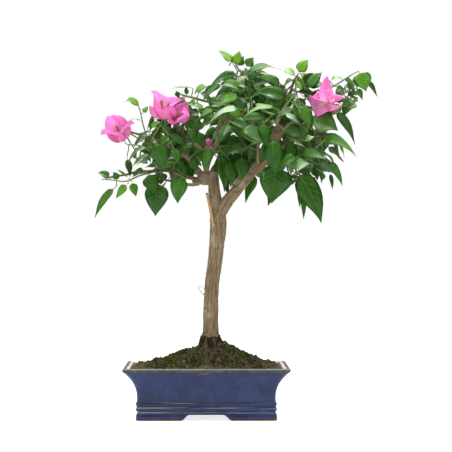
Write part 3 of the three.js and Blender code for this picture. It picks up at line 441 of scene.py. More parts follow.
def unit(vectors):
    """Each vector over its own length."""
    vectors = np.asarray(vectors, float)
    return vectors / np.maximum(np.linalg.norm(vectors, axis=-1, keepdims=True), 1e-9)


def turned(vector, axis, angle):
    """The vector turned about an axis of length one: its part along the axis stays, and the rest
    goes round by the cosine and sine of the angle."""
    along = axis * (vector @ axis)
    return along + (vector - along) * math.cos(angle) + np.cross(axis, vector) * math.sin(angle)


def ease(values, low, high):
    """A smooth step: 0 below low, 1 above high, and 3 t squared less 2 t cubed between them."""
    share = np.clip((values - low) / (high - low), 0, 1)
    return share * share * (3 - 2 * share)


def lattice(cells, seed):
    """A repeatable number from 0 to 1 for each whole-number place: the three numbers times large
    odd numbers, added, and mixed by shifts within 32 bits."""
    mixed = (cells[..., 0] * 374761393 + cells[..., 1] * 668265263 + cells[..., 2] * 1274126177)
    mixed = (mixed + seed * 1442695041) & WORD
    mixed = ((mixed ^ (mixed >> 13)) * 1274126177) & WORD
    return ((mixed ^ (mixed >> 16)) & WORD) / WORD_RANGE


def noise(places, seed=0):
    """Smooth noise from -1 to 1: lattice numbers at the eight corners of each place's cell,
    blended by smooth steps of its share of the cell in each direction."""
    places = np.asarray(places, float)
    cells = np.floor(places).astype(np.int64)
    share = ease(places - cells, 0, 1)
    total = np.zeros(places.shape[:-1])
    for corner in np.ndindex(2, 2, 2):
        picked = np.array(corner)
        weight = np.prod(np.where(picked == 1, share, 1 - share), axis=-1)
        total += weight * lattice(cells + picked, seed)
    return total * 2 - 1


def layered(places, layers, seed=0):
    """Noise of several sizes: each layer is half as large and half as strong as the last."""
    total = 0
    for layer in range(layers):
        total = total + noise(np.asarray(places) * 2 ** layer, seed + layer) / 2 ** layer
    return total / (2 - 2 ** (1 - layers))


def pebbles(places, seed=0):
    """Cellular noise: the distance to the nearest of the points that lie one to a cell, each at
    its own lattice numbers within the cell."""
    places = np.asarray(places, float)
    cells = np.floor(places).astype(np.int64)
    nearest = np.full(places.shape[:-1], 9.0)
    for step in np.ndindex(3, 3, 3):
        cell = cells + np.array(step) - 1
        point = cell + np.stack([lattice(cell, seed + axis) for axis in range(3)], axis=-1)
        nearest = np.minimum(nearest, np.linalg.norm(point - places, axis=-1))
    return nearest


def stream(seed):
    """The source's repeatable stream of numbers from 0 to 1."""
    state = seed
    while True:
        state = (state + 0x6D2B79F5) & WORD
        mixed = ((state ^ (state >> 15)) * (1 | state)) & WORD
        mixed = ((mixed + ((mixed ^ (mixed >> 7)) * (61 | mixed) & WORD)) & WORD) ^ mixed
        yield ((mixed ^ (mixed >> 14)) & WORD) / WORD_RANGE


# Lines that limbs and twigs follow

class Line:
    """A line through space, read at shares of its course from 0 to 1."""

    def tangent(self, share):
        """The direction of the short step between a little before and a little after a share."""
        low, high = max(0.0, share - 0.0001), min(1.0, share + 0.0001)
        low_point, high_point = self.at([low, high])[:, :3]
        return unit(high_point - low_point)

    def length(self):
        """The sum of 200 short steps."""
        points = self.at(np.linspace(0, 1, 201))[:, :3]
        return float(np.linalg.norm(np.diff(points, axis=0), axis=1).sum())


class SmoothLine(Line):
    """A line through points: between two of them each coordinate is a cubic, with slopes at its
    ends of half the step between the neighbours. The end steps are repeated beyond the ends."""

    def __init__(self, points):
        points = np.asarray(points, float)
        self.points = np.vstack([2 * points[0] - points[1], points, 2 * points[-1] - points[-2]])
        self.spans = len(points) - 1

    def at(self, shares):
        place = np.atleast_1d(np.asarray(shares, float)) * self.spans
        span = np.minimum(place.astype(int), self.spans - 1)
        t = (place - span)[:, None]
        before, start, end, after = (self.points[span + step] for step in range(4))
        leaving = (end - before) / 2
        coming = (after - start) / 2
        squared = 3 * (end - start) - 2 * leaving - coming
        cubed = 2 * (start - end) + leaving + coming
        return start + leaving * t + squared * t ** 2 + cubed * t ** 3


class Bow(Line):
    """A line that starts towards a middle point and comes in from it: the three points weighted
    by the square of 1 - t, twice t times 1 - t, and the square of t."""

    def __init__(self, start, middle, end):
        self.start, self.middle, self.end = (np.asarray(one, float) for one in (start, middle, end))

    def at(self, shares):
        t = np.atleast_1d(np.asarray(shares, float))[:, None]
        return (1 - t) ** 2 * self.start + 2 * t * (1 - t) * self.middle + t ** 2 * self.end


def bowed(start, end, bow=0.0):
    """A line between two points whose middle point is raised by a share of their distance."""
    start, end = np.asarray(start, float), np.asarray(end, float)
    middle = (start + end) / 2 + UP * np.linalg.norm(end - start) * bow
    return Bow(start, middle, end)


# Meshes from arrays

def write_values(mesh, values):
    """Keeps numbers or vectors, one for each vertex, as attributes of the mesh."""
    for name, value in values.items():
        kind, field = ("FLOAT", "value") if value.ndim == 1 else ("FLOAT_VECTOR", "vector")
        attribute = mesh.attributes.new(name, kind, "POINT")
        attribute.data.foreach_set(field, value.astype(np.float32).ravel())


class Bag:
    """Vertices and faces of many small shapes, gathered into one mesh."""

    def __init__(self):
        self.vertices, self.quads, self.triangles, self.slots = [], [], [], []
        self.values = {}
        self.count = 0

    def add(self, vertices, quads=(), triangles=(), slots=0, **values):
        """Adds a shape, with the material slots of its quads and a value for each vertex."""
        vertices = np.asarray(vertices, float).reshape(-1, 3)
        quads = np.asarray(quads, np.int64).reshape(-1, 4)
        triangles = np.asarray(triangles, np.int64).reshape(-1, 3)
        self.vertices.append(vertices)
        self.quads.append(quads + self.count)
        self.triangles.append(triangles + self.count)
        self.slots.append(np.broadcast_to(slots, len(quads)))
        for name, value in values.items():
            self.values.setdefault(name, []).append(value)
        self.count += len(vertices)

    def make(self, name, materials=(), smooth=True):
        """The mesh object: at the origin, with its place in its mesh, in metres."""
        vertices, quads, triangles, slots = (
            np.concatenate(parts) for parts in (self.vertices, self.quads, self.triangles, self.slots))
        mesh = bpy.data.meshes.new(name)
        mesh.vertices.add(len(vertices))
        mesh.vertices.foreach_set("co", ((vertices + PLAN_ORIGIN) * METRES).ravel())
        corners = np.concatenate([quads.ravel(), triangles.ravel()])
        mesh.loops.add(len(corners))
        mesh.loops.foreach_set("vertex_index", corners)
        sizes = np.repeat((4, 3), (len(quads), len(triangles)))
        mesh.polygons.add(len(sizes))
        mesh.polygons.foreach_set("loop_start", np.cumsum(sizes) - sizes)
        slots = np.append(slots, np.zeros(len(triangles), int))
        mesh.polygons.foreach_set("material_index", slots)
        mesh.polygons.foreach_set("use_smooth", np.full(len(sizes), smooth))
        write_values(mesh, {key: np.concatenate(parts) for key, parts in self.values.items()})
        mesh.update()
        mesh.validate()
        piece = bpy.data.objects.new(name, mesh)
        bpy.context.scene.collection.objects.link(piece)
        for material in materials:
            mesh.materials.append(material)
        return piece


def grid_quads(numbers, order=(0, 1, 2, 3)):
    """The quads between the points of a grid of vertex numbers, with their corners in an order."""
    corners = (numbers[:-1, :-1], numbers[:-1, 1:], numbers[1:, 1:], numbers[1:, :-1])
    return np.stack([corners[place] for place in order], axis=-1).reshape(-1, 4)


def wrapped(numbers):
    """A grid whose last column joins the first."""
    return np.column_stack([numbers, numbers[:, 0]])


def fan(ring, middle, outward_last):
    """Triangles from a closed ring of vertex numbers to a middle one."""
    pair = (ring, np.roll(ring, -1)) if outward_last else (np.roll(ring, -1), ring)
    return np.stack([*pair, np.full(len(ring), middle)], axis=-1)


def ringed(rings, first, last):
    """A skin over closed rings of points, with a middle point that closes each end. Gives
    vertices, quads and triangles."""
    number = np.arange(rings[..., 0].size).reshape(rings.shape[:2])
    count = number.size
    triangles = np.vstack([fan(number[0], count, False), fan(number[-1], count + 1, True)])
    return np.vstack([rings.reshape(-1, 3), first, last]), grid_quads(wrapped(number)), triangles


def ring_frame(points):
    """A path's direction at each point and two ways across it: a fixed guide crossed with the
    direction, and the direction crossed with that."""
    direction = unit(np.gradient(points, axis=0))
    guide = np.eye(3)[np.argmin(np.abs(unit(points[-1] - points[0])))]
    across = unit(np.cross(guide, direction))
    return direction, across, np.cross(direction, across)


def tube(points, radii, sides, lobes=0, lobe_depth=0.0):
    """A round tube about a path, its rings across the path's direction. Lobes swell a ring by the
    cosine of so many times its angle."""
    points = np.asarray(points, float)
    radii = np.broadcast_to(np.asarray(radii, float), len(points))
    _, across, other = ring_frame(points)
    angles = np.linspace(0, 2 * math.pi, sides, endpoint=False)
    spread = radii[:, None] * (1 + lobe_depth * np.cos(lobes * angles))
    ring = (across[:, None] * np.cos(angles)[None, :, None]
            + other[:, None] * np.sin(angles)[None, :, None]) * spread[..., None]
    return ringed(points[:, None] + ring, points[0], points[-1])


def add_sheet(bag, upper, lower, slots=(0, 0), **grids):
    """Adds a closed sheet of two grids that share their edge: the lower grid's inner points are
    its own. The grids of values hold for both sides."""
    top = np.arange(upper[..., 0].size).reshape(upper.shape[:2])
    under = top.copy()
    inner = under[1:-1, 1:-1]
    inner[:] = top.size + np.arange(inner.size).reshape(inner.shape)
    vertices = np.vstack([upper.reshape(-1, 3), lower[1:-1, 1:-1].reshape(-1, 3)])
    quads = np.vstack([grid_quads(top, (0, 3, 2, 1)), grid_quads(under)])
    values = {name: np.concatenate([grid.ravel(), grid[1:-1, 1:-1].ravel()])
              for name, grid in grids.items()}
    bag.add(vertices, quads, slots=np.repeat(slots, len(quads) // 2), **values)


def finish(piece, replaced):
    """What each piece of the plant says: the body it rides on and what it replaces."""
    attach(piece, "root")
    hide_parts(*replaced)


# Materials

class Value:
    """A node's output, with the signs of arithmetic as Math nodes."""

    def __init__(self, nodes, socket):
        self.nodes, self.socket = nodes, socket

    def __add__(self, other):
        return self.nodes.math("ADD", self, other)

    def __sub__(self, other):
        return self.nodes.math("SUBTRACT", self, other)

    def __rsub__(self, other):
        return self.nodes.math("SUBTRACT", other, self)

    def __mul__(self, other):
        return self.nodes.math("MULTIPLY", self, other)

    __radd__ = __add__


class Nodes:
    """The nodes of a material or a world."""

    def __init__(self, tree):
        self.tree = tree

    def put(self, socket, value):
        """Links a value to a socket, or sets the socket to a number, vector or colour."""
        if isinstance(value, Value):
            self.tree.links.new(value.socket, socket)
        else:
            socket.default_value = (*value, 1) if socket.type == "RGBA" else value

    def node(self, kind, output, values=None, **settings):
        """The output of a new node, with its settings and the values of its sockets."""
        made = self.tree.nodes.new("ShaderNode" + kind)
        for name, value in settings.items():
            setattr(made, name, value)
        for name, value in (values or {}).items():
            self.put(made.inputs[name], value)
        return Value(self, made.outputs[output])

    def math(self, operation, *terms):
        return self.node("Math", 0, dict(enumerate(terms)), operation=operation)

    def place(self):
        """Object coordinates, in metres."""
        return self.node("TexCoord", "Object")

    def attribute(self, name, output="Fac"):
        return self.node("Attribute", output, attribute_name=name)

    def scaled(self, vector, scale):
        return self.node("Mapping", "Vector", {"Vector": vector, "Scale": scale})

    def noise(self, vector, scale, detail=3.0, roughness=0.55):
        return self.node("TexNoise", "Fac", {
            "Vector": vector, "Scale": scale, "Detail": detail, "Roughness": roughness})

    def axis(self, vector, name):
        return self.node("SeparateXYZ", name, {"Vector": vector})

    def step(self, value, low, high):
        """A smooth step of a value between two limits."""
        return self.node(
            "MapRange", "Result", {"Value": value, "From Min": low, "From Max": high},
            interpolation_type="SMOOTHSTEP")

    def near(self, value, middle, low, high):
        """1 where a value is within low of a middle, 0 beyond high of it."""
        return 1 - self.step(self.math("ABSOLUTE", value - middle), low, high)

    def mix(self, share, one, other):
        """A colour between two colours."""
        return self.node("Mix", 2, {0: share, 6: one, 7: other}, data_type="RGBA")

    def ramp(self, value, *stops):
        """A colour from three stops, each a position and a colour."""
        colour = self.node("ValToRGB", "Color", {"Fac": value})
        elements = colour.socket.node.color_ramp.elements
        elements.new(0.5)
        for element, (position, tone) in zip(elements, stops):
            element.position = position
            element.color = (*tone, 1)
        return colour


class Shader(Nodes):
    """A material's nodes, round one principled shader."""

    def __init__(self, name, specular=0.5):
        self.material = bpy.data.materials.new(name)
        self.material.use_nodes = True
        super().__init__(self.material.node_tree)
        self.inputs = self.tree.nodes["Principled BSDF"].inputs
        self.put(self.inputs["Specular IOR Level"], specular)

    def finish(self, colour, roughness, height=None, depth=0.0):
        """Sets or links the colour and roughness, and a bump, and gives the material."""
        self.put(self.inputs["Base Color"], colour)
        self.put(self.inputs["Roughness"], roughness)
        if height is not None:
            values = {"Height": height, "Strength": 1.0, "Distance": depth}
            self.put(self.inputs["Normal"], self.node("Bump", "Normal", values))
        return self.material


def speckled(name, specular, grain, tones, roughness, depth=0.0):
    """A material whose colour follows one noise, as two colours or three stops. So do its
    roughness, given as base and spread, and its bump where it has a depth."""
    shader = Shader(name, specular)
    tone = shader.noise(shader.place(), *grain)
    colour = shader.mix(tone, *tones) if len(tones) == 2 else shader.ramp(tone, *tones)
    base, spread = roughness
    rough = base + tone * spread if spread else base
    return shader.finish(colour, rough, tone if depth else None, depth)


# The growth rule

def limb_places():
    """Points along the trunk, burl, stick and boughs, with the radius there."""
    places = []

    def along(line, radii, length):
        count = math.ceil(length / CHECK_SPACING)
        shares = np.linspace(0, 1, count + 1)
        points = line.at(shares)[:, :3]
        widths = radii[0] + (radii[1] - radii[0]) * shares
        places.append(np.column_stack([points, widths]))

    trunk = SmoothLine(TRUNK_LINE)
    count = math.ceil((TRUNK_LINE[-1][2] - TRUNK_LINE[0][2]) / CHECK_SPACING)
    places.append(trunk.at(np.linspace(0, 1, count + 1)))
    places.append(np.array([[*BURL_CENTRE, max(BURL_SIZE)]]))
    along(bowed(*STICK), (STICK_RADII[0], STICK_RADII[0]), math.dist(*STICK))
    for base, tip, route in BOUGHS.values():
        line = SmoothLine(route)
        along(line, (base, tip), line.length())
    places.append(np.array([
        [SAW_POINT[0], SAW_POINT[1] - way, SAW_POINT[2], OPEN_VIEW_RADIUS] for way in OPEN_VIEW_WAYS]))
    return np.concatenate(places)


class Leaf:
    """A blade's root, frame and size, and its colour where that is chosen."""

    def __init__(self, mass, root, along, face, length, width, fold, droop, kind=None):
        self.mass, self.root, self.along, self.face = mass, root, along, face
        self.across = np.cross(face, unit(along))
        self.length, self.width, self.fold, self.droop = length, width, fold, droop
        self.kind = kind

    def test_points(self):
        """Points of the source's plain blade: at each share of its length, a few shares of its
        half width, which grows to its widest place and shrinks to the tip."""
        shares = np.arange(1, BLADE_STEPS + 1)[:, None] / BLADE_STEPS
        sides = np.array(BLADE_SIDES)[None, :]
        full = self.width / 2
        half = np.where(
            shares < WIDEST, LEAF_ROOT / 2 + (full - LEAF_ROOT / 2) * shares / WIDEST,
            full * (1 - shares) / (1 - WIDEST))
        along = (self.length * shares)[..., None] * self.along
        fall = (-self.length * self.droop * shares ** 2)[..., None] * UP
        across = (half * sides)[..., None] * self.across
        rise = (half * np.abs(sides) * self.fold)[..., None] * self.face
        return (self.root + along + fall + across + rise).reshape(-1, 3)


def blade_face(along, outward, roll):
    """The upper side of a blade: up with a lean outward, squared to the blade and rolled."""
    face = UP + outward * OUTLOOK
    face = unit(face - along * (face @ along))
    return turned(face, along, roll)


def aimed(mass, root, tip, width, droop, roll, kind=None):
    """A leaf from a root to a tip, with its upper side to the front."""
    reach = np.asarray(tip, float) - root
    length = float(np.linalg.norm(reach))
    direction = (reach + UP * length * droop) / length
    face = blade_face(unit(direction), np.array([0, -1, 0.2]), roll)
    return Leaf(mass, root, direction, face, length, width, LEAF_FOLD, droop, kind)


def seen(place, depth):
    """The point of the plan, at a depth behind the trunk's plane, that the camera sees at a
    place of the photo: the place's distance from the view's middle, over the focal length, times
    the distance from the camera."""
    scale = (CAMERA_DISTANCE + depth) / FOCAL_PIXELS
    return np.array([
        (place[0] - ORIGIN_COLUMN) * scale, depth, CAMERA_HEIGHT + (HORIZON_ROW - place[1]) * scale])


def photo_places(points):
    """The columns and rows at which the camera sees points of the plan."""
    scale = FOCAL_PIXELS / (CAMERA_DISTANCE + points[:, 1])
    return np.column_stack([
        ORIGIN_COLUMN + points[:, 0] * scale, HORIZON_ROW - (points[:, 2] - CAMERA_HEIGHT) * scale])


def in_sky(places):
    """Which places of the photo lie outside the crown's outline, by how often a line to the right
    crosses it, or within one of its gaps."""
    corners = np.array(CROWN_OUTLINE)
    following = np.roll(corners, -1, axis=0)
    column, row = places[:, :1], places[:, 1:]
    passed = (corners[:, 1] > row) != (following[:, 1] > row)
    slope = (following[:, 0] - corners[:, 0]) / (following[:, 1] - corners[:, 1] + 1e-9)
    crossings = passed & (column < corners[:, 0] + slope * (row - corners[:, 1]))
    gaps = np.array(SKY_GAPS)
    offsets = (places[:, None] - gaps[:, :2]) / gaps[:, 2:]
    return (crossings.sum(axis=1) % 2 == 0) | (np.linalg.norm(offsets, axis=2) < 1).any(axis=1)


class Plant:
    """What grows from one bough's end, and its own stream of numbers."""

    def __init__(self, number, stem, bough_end):
        self.number, self.stem, self.bough_end = number, stem, bough_end
        self.leaves, self.twigs, self.shoots, self.stalks, self.finer = [], [], [], [], []
        self.random = stream(SEED_BASE + number * SEED_STEP)


class Crown:
    """Everything that grows: the stems, twigs and leaves of all the masses."""

    def __init__(self):
        self.limbs = limb_places()
        self.groups = []
        self.middles = np.zeros((0, 3))
        self.reaches = np.zeros(0)
        self.owners = np.zeros(0, int)
        self.clearance = CLEARANCE
        self.plants = [self.start(number) for number in range(len(MASSES))]
        for grow in (self.add_shoots, self.add_blossom, self.add_twigs, self.add_leaves):
            for plant in self.plants:
                grow(plant)
        self.add_finer()
        self.seen_leaves = [self.seen_leaf(*row) for row in SEEN_LEAVES]
        self.seen_twigs = [
            (SmoothLine([seen(place, depth) for place in places]), radii)
            for places, depth, radii in SEEN_TWIGS]
        self.open_up()
        self.join_up()

    def clear_of_limbs(self, points, margins):
        gaps = np.linalg.norm(points[:, None] - self.limbs[None, :, :3], axis=2) - self.limbs[:, 3]
        return gaps.min(axis=1) >= margins

    def room(self, mass, points):
        """How far points lie inside a mass's own space, whose walls to its neighbours are flat."""
        reach = ((points[:, None] - CENTRES) ** 2).sum(axis=2) - MEAN_RADII ** 2
        between = np.linalg.norm(CENTRES - CENTRES[mass], axis=1)
        others = np.arange(len(MASSES)) != mass
        return ((reach - reach[:, [mass]])[:, others] / (2 * between[others])).min(axis=1)

    def group(self, mass, points):
        middle = (points[0] + points[-1]) / 2
        return mass, points, middle, np.linalg.norm(points - middle, axis=1).max()

    def apart(self, group, owners):
        """Whether a group of points keeps its distance from all groups of the given owners."""
        _, points, middle, reach = group
        far = np.linalg.norm(self.middles - middle, axis=1)
        near = owners & (far <= self.reaches + reach + self.clearance)
        for place in np.flatnonzero(near):
            other = self.groups[place]
            if ((points[:, None] - other) ** 2).sum(axis=2).min() < self.clearance ** 2:
                return False
        return True

    def take(self, group):
        mass, points, middle, reach = group
        self.groups.append(points)
        self.middles = np.vstack([self.middles, middle])
        self.reaches = np.append(self.reaches, reach)
        self.owners = np.append(self.owners, mass)

    def blade_fits(self, leaf, chosen):
        points = leaf.test_points()
        margins = np.full(len(points), BLADE_MARGIN)
        margins[:len(BLADE_SIDES)] = ROOT_MARGIN
        if not self.clear_of_limbs(points, margins).all():
            return False
        beyond = np.linalg.norm(
            (points - CENTRES[leaf.mass]) / np.array(MASSES[leaf.mass][3], float), axis=1)
        if not chosen and ((self.room(leaf.mass, points) < -INTERLEAVE) | (beyond > ENVELOPE)).any():
            return False
        whole = self.group(leaf.mass, points)
        outer = self.group(leaf.mass, points[2 * len(BLADE_SIDES):])
        if not self.apart(whole, self.owners != leaf.mass):
            return False
        if not chosen and not self.apart(outer, self.owners == leaf.mass):
            return False
        self.take(outer)
        return True

    def claim(self, mass, line, room):
        """Claims a twig's place, unless it leaves its space or meets a limb or another mass."""
        points = line.at(np.linspace(0, 1, math.ceil(line.length() / CHECK_SPACING) + 1))
        free = np.linalg.norm(points - points[0], axis=1) < TWIG_FREE_START
        clear = free | self.clear_of_limbs(points, TWIG_BASE + TWIG_MARGIN)
        own = self.group(mass, points)
        fits = bool(((self.room(mass, points) > room) & clear).all())
        fits = fits and self.apart(own, self.owners != mass)
        if fits:
            self.take(own)
        return fits

    def start(self, number):
        """A mass's stem, from just beyond its bough's tip through its middle."""
        route = SmoothLine(BOUGHS[MASSES[number][1]][2])
        end, before = route.at([1, 0.99])
        heading = unit(end - before)
        begin = end + heading * SEAT_GAP
        centre = CENTRES[number]
        towards = centre - begin
        distance = np.linalg.norm(towards)
        last = centre + towards / distance * MEAN_RADII[number] * STEM_REACH
        stem = Bow(begin, begin + heading * distance * STEM_AIM, last)
        self.claim(number, stem, CELL_MARGIN + STEM_BASE)
        return Plant(number, stem, end)

    def add_shoots(self, plant):
        shoots, flowers = MASSES[plant.number][5:]
        first, last = SHOOTS_ON_STEM

        def shoot(share, target):
            line = bowed(plant.stem.at(share)[0], target, SHOOT_BOW)
            self.claim(plant.number, line, -INTERLEAVE)
            return line

        for place, (target, _, _) in enumerate(shoots):
            share = first + (last - first) * place / max(1, len(shoots) - 1)
            plant.shoots.append(shoot(share, target))
        for place, (target, _) in enumerate(flowers):
            plant.stalks.append(shoot(FLOWER_ON_STEM - FLOWER_STEP * place, target))

    def add_blossom(self, plant):
        shoots, flowers = MASSES[plant.number][5:]
        for line, (_, tip, width) in zip(plant.shoots, shoots):
            self.aimed_leaf(plant, line, np.array(tip, float), width)
        for line, (_, facing) in zip(plant.stalks, flowers):
            self.add_bracts(plant, line, unit(np.array(facing, float)))

    def aimed_leaf(self, plant, line, tip, width):
        """A leaf that ends at a chosen place. Its place is only kept free here, because the
        leaves that show are set one by one."""
        roll = (next(plant.random) - 0.5) * 0.5
        self.blade_fits(aimed(plant.number, line.at(END_LEAF)[0], tip, width, LEAF_DROOP, roll), True)

    def seen_leaf(self, column, row, tip_column, tip_row, depth, width, droop, kind):
        """A leaf that the photo shows, at the front of the crown."""
        root, tip = seen((column, row), depth), seen((tip_column, tip_row), depth)
        roll = SEEN_ROLL * math.sin(column + 2 * tip_row)
        return aimed(0, root, tip, width * SEEN_WIDENING, droop, roll, kind)

    def open_up(self):
        """Takes out the grown leaves that stand where the photo shows sky or in front of a leaf
        or bract that shows, and the twigs that then carry nothing."""
        shares = np.array([0.2, 0.4, 0.6, 0.8])[:, None]
        middles, reaches = [], []
        for leaf in self.seen_leaves:
            fall = UP * (leaf.droop * shares ** 2)
            middles.append(leaf.root + leaf.length * (leaf.along * shares - fall))
            reaches += [leaf.width * 0.3] * len(shares)
        for base, depth, tips in SEEN_FLOWERS:
            root = seen(base, depth)
            for tip, tip_depth, width in tips:
                middles.append(root + (seen(tip, tip_depth) - root) * shares)
                reaches += [width * 0.5] * len(shares)
        middles, reaches = np.vstack(middles), np.array(reaches) * FOCAL_PIXELS / CAMERA_DISTANCE
        shown = photo_places(middles)

        def stays(leaf):
            points = leaf.test_points()
            places = photo_places(points)
            covers = np.linalg.norm(places[:, None] - shown, axis=2) < reaches
            covers &= points[:, 1:2] < middles[:, 1] + 2
            return in_sky(places).mean() < SKY_SHARE and not covers.any()

        def trimmed(lines, roots):
            kept = []
            for line in lines:
                points = line.at(np.linspace(0, 1, 40))
                near = np.linalg.norm(points[:, None] - roots, axis=2).min(axis=1) < BARE_REACH
                if near[8:].any():
                    last = 8 + np.flatnonzero(near[8:])[-1]
                    kept.append(SmoothLine(points[np.linspace(0, last, 8).round().astype(int)]))
            return kept

        def starts(lines):
            return np.array([line.at(0)[0] for line in lines]).reshape(-1, 3)

        for plant in self.plants:
            plant.leaves = [leaf for leaf in plant.leaves if stays(leaf)]
            roots = np.array([leaf.root for leaf in plant.leaves]).reshape(-1, 3)
            if len(roots) == 0:
                plant.finer, plant.twigs, plant.shoots = [], [], []
                continue
            plant.finer = trimmed(plant.finer, roots)
            roots = np.vstack([roots, starts(plant.finer)])
            plant.twigs = trimmed(plant.twigs, roots)
            plant.shoots = trimmed(plant.shoots, roots)
            roots = np.vstack([roots, starts(plant.twigs + plant.shoots)])
            plant.stem = (trimmed([plant.stem], roots) or [plant.stem])[0]

    def join_up(self):
        """Twigs from the leaves and blossom that show back to the nearest wood: the closest is
        joined first, and each new twig then carries others."""
        lines = [SmoothLine(route) for _, _, route in BOUGHS.values()]
        for plant in self.plants:
            lines += [plant.stem, *plant.shoots, *plant.twigs]
        wood = np.concatenate([line.at(np.linspace(0.15, 1, 16)) for line in lines])
        self.joining = []

        def join(end):
            start = wood[np.linalg.norm(wood - end, axis=1).argmin()]
            line = bowed(start, end, JOIN_BOW)
            self.joining.append(line)
            return line.at(np.linspace(0, 1, 8))

        for line, _ in self.seen_twigs:
            wood = np.vstack([wood, join(line.at(0)[0]), line.at(np.linspace(0, 1, 20))])
        roots = [leaf.root for leaf in self.seen_leaves]
        roots += [seen(base, depth) for base, depth, _ in SEEN_FLOWERS]
        while roots:
            gaps = [np.linalg.norm(wood - root, axis=1).min() for root in roots]
            wood = np.vstack([wood, join(roots.pop(int(np.argmin(gaps))))])

    def add_bracts(self, plant, line, axis):
        """The places of three bracts round the end of a stalk are kept free."""
        for place in range(3):
            root = line.at(0.97 - 0.04 * place)[0]
            side = unit(np.cross(np.array([0.2, 0.1, 1]), axis))
            side = turned(side, axis, place / 3 * 2 * math.pi + BRACT_TURN)
            along = unit(axis * BRACT_RISE + side * BRACT_SPREAD)
            face = unit(axis - along * (axis @ along))
            bract = Leaf(
                plant.number, root, along, face, BRACT_LENGTH, BRACT_WIDTH,
                BRACT_FOLD, BRACT_DROOP)
            self.blade_fits(bract, True)

    def add_twigs(self, plant):
        number = plant.number
        first, last = TWIGS_ON_STEM
        for place in range(TWIGS_A_MASS):
            height = 1 - 2 * (place + 0.5) / TWIGS_A_MASS
            angle = place * GOLDEN_ANGLE + number
            ring = math.sqrt(1 - height * height)
            offset = np.array([ring * math.cos(angle), ring * math.sin(angle), height])
            offset = offset * MASSES[number][3]
            offset = offset * TWIG_REACH * (TWIG_LEAST + TWIG_EXTRA * next(plant.random))
            begin = plant.stem.at(first + (last - first) * (place + 0.5) / TWIGS_A_MASS)[0]
            for share in SHORTER_TWIGS:
                line = bowed(begin, CENTRES[number] + offset * share)
                if self.claim(number, line, CELL_MARGIN + TWIG_BASE):
                    plant.twigs.append(line)
                    break

    def grown_leaf(self, plant, line, share, along, tilt, angle, size):
        """A leaf set at a share of a twig's length, turned on until it finds room."""
        root = line.at(share)[0]
        tangent = line.tangent(share)
        outward = root - CROWN_MIDDLE
        outward[2] = 0
        outward = unit(outward)
        hang = MASSES[plant.number][4]
        for attempt in range(TRIES):
            side = unit(np.cross(np.array([0.3, 1, 0.1]), tangent))
            side = turned(side, tangent, angle + attempt * TURN_AGAIN)
            direction = unit(tangent * along + side * tilt - UP * hang)
            length = size * SHRINK_AGAIN ** attempt
            face = blade_face(direction, outward, (next(plant.random) - 0.5) * 0.8)
            leaf = Leaf(
                plant.number, root, direction, face, length, length * LEAF_WIDTH,
                LEAF_FOLD, LEAF_DROOP)
            if self.blade_fits(leaf, False):
                plant.leaves.append(leaf)
                return True
        return False

    def leaves_on(self, plant, line, with_end, spacing=LEAF_SPACING, sizes=(SHORTEST_LEAF, LONGEST_LEAF)):
        """Leaves set round a twig by the golden angle, after one at its end."""
        random = plant.random
        shortest, longest = sizes
        ended = False
        if with_end:
            angle = next(random) * 6
            size = longest * (0.75 + 0.25 * next(random))
            ended = self.grown_leaf(plant, line, END_LEAF, 1, 0.3, angle, size)
        nodes = math.floor(line.length() * (1 - FIRST_LEAF) / spacing)
        for node in range(nodes):
            share = FIRST_LEAF + (LAST_LEAF - FIRST_LEAF) * (node + 0.5) / nodes
            size = shortest + (longest - shortest) * next(random)
            angle = node * GOLDEN_ANGLE + next(random)
            self.grown_leaf(plant, line, share, 0.5, 0.9, angle, size)
        return ended

    def add_leaves(self, plant):
        for line in plant.shoots:
            self.leaves_on(plant, line, False)
        for line in (plant.stem, *plant.twigs):
            self.leaves_on(plant, line, True)

    def add_finer(self):
        """Finer twigs on the twigs, within the same reach, with smaller and closer leaves."""
        self.clearance = FINER_CLEARANCE
        for plant in self.plants:
            random = plant.random
            for line in [plant.stem, *plant.shoots, *plant.twigs]:
                for place, share in enumerate(FINER_SHARES):
                    root = line.at(share)[0]
                    tangent = line.tangent(share)
                    side = unit(np.cross(np.array([0.3, 1, 0.1]), tangent))
                    angle = place * GOLDEN_ANGLE + next(random) * 6
                    side = turned(side, tangent, angle)
                    size = FINER_LENGTH * (0.7 + 0.6 * next(random))
                    end = root + (tangent * 0.7 + side * 0.8 + UP * 0.15) * size
                    finer = bowed(root, end, SHOOT_BOW)
                    if self.claim(plant.number, finer, -INTERLEAVE / 2):
                        plant.finer.append(finer)
        for plant in self.plants:
            plant.finer = [
                line for line in plant.finer
                if self.leaves_on(plant, line, True, FINER_SPACING, FINER_LEAVES)]


@cache
def crown():
    """The grown crown, worked out once."""
    return Crown()


# Settings

def colour_setting(name, description, default):
    """A colour that the panel shows."""
    return FloatVectorProperty(
        name=name, description=description, subtype="COLOR", default=default, min=0, max=1)


def length_setting(name, description, default, least, most):
    """A length that the panel shows."""
    return FloatProperty(
        name=name, description=description, unit="LENGTH", default=default, min=least, max=most)


def count_setting(name, description, default, most):
    """A count that the panel shows."""
    return IntProperty(name=name, description=description, default=default, min=0, max=most)


class PotSettings(PropertyGroup):
    """Sizes and colours of the glazed pot."""
    glaze: colour_setting("Glaze", "Colour of the glaze where it is thick", (0.013, 0.026, 0.092))
    pooled: colour_setting(
        "Pooled glaze", "Colour of the glaze where it has run together", (0.009, 0.016, 0.056))
    # Thin glaze: the pale streaks on the mouldings' upper edges, partly glaze that is thin there and partly
    # a painted highlight.
    thin: colour_setting(
        "Thin glaze", "Colour of the glaze where it is thin, on edges", (0.17, 0.19, 0.17))
    inside: colour_setting("Inside", "Colour of the pale glaze inside the rim", (0.62, 0.60, 0.52))
    clay: colour_setting("Clay", "Colour of the bare clay at the feet", (0.055, 0.020, 0.014))
    bare_height: length_setting(
        "Bare clay height", "How far up the feet the glaze stops", 0.0024, 0, 0.02)


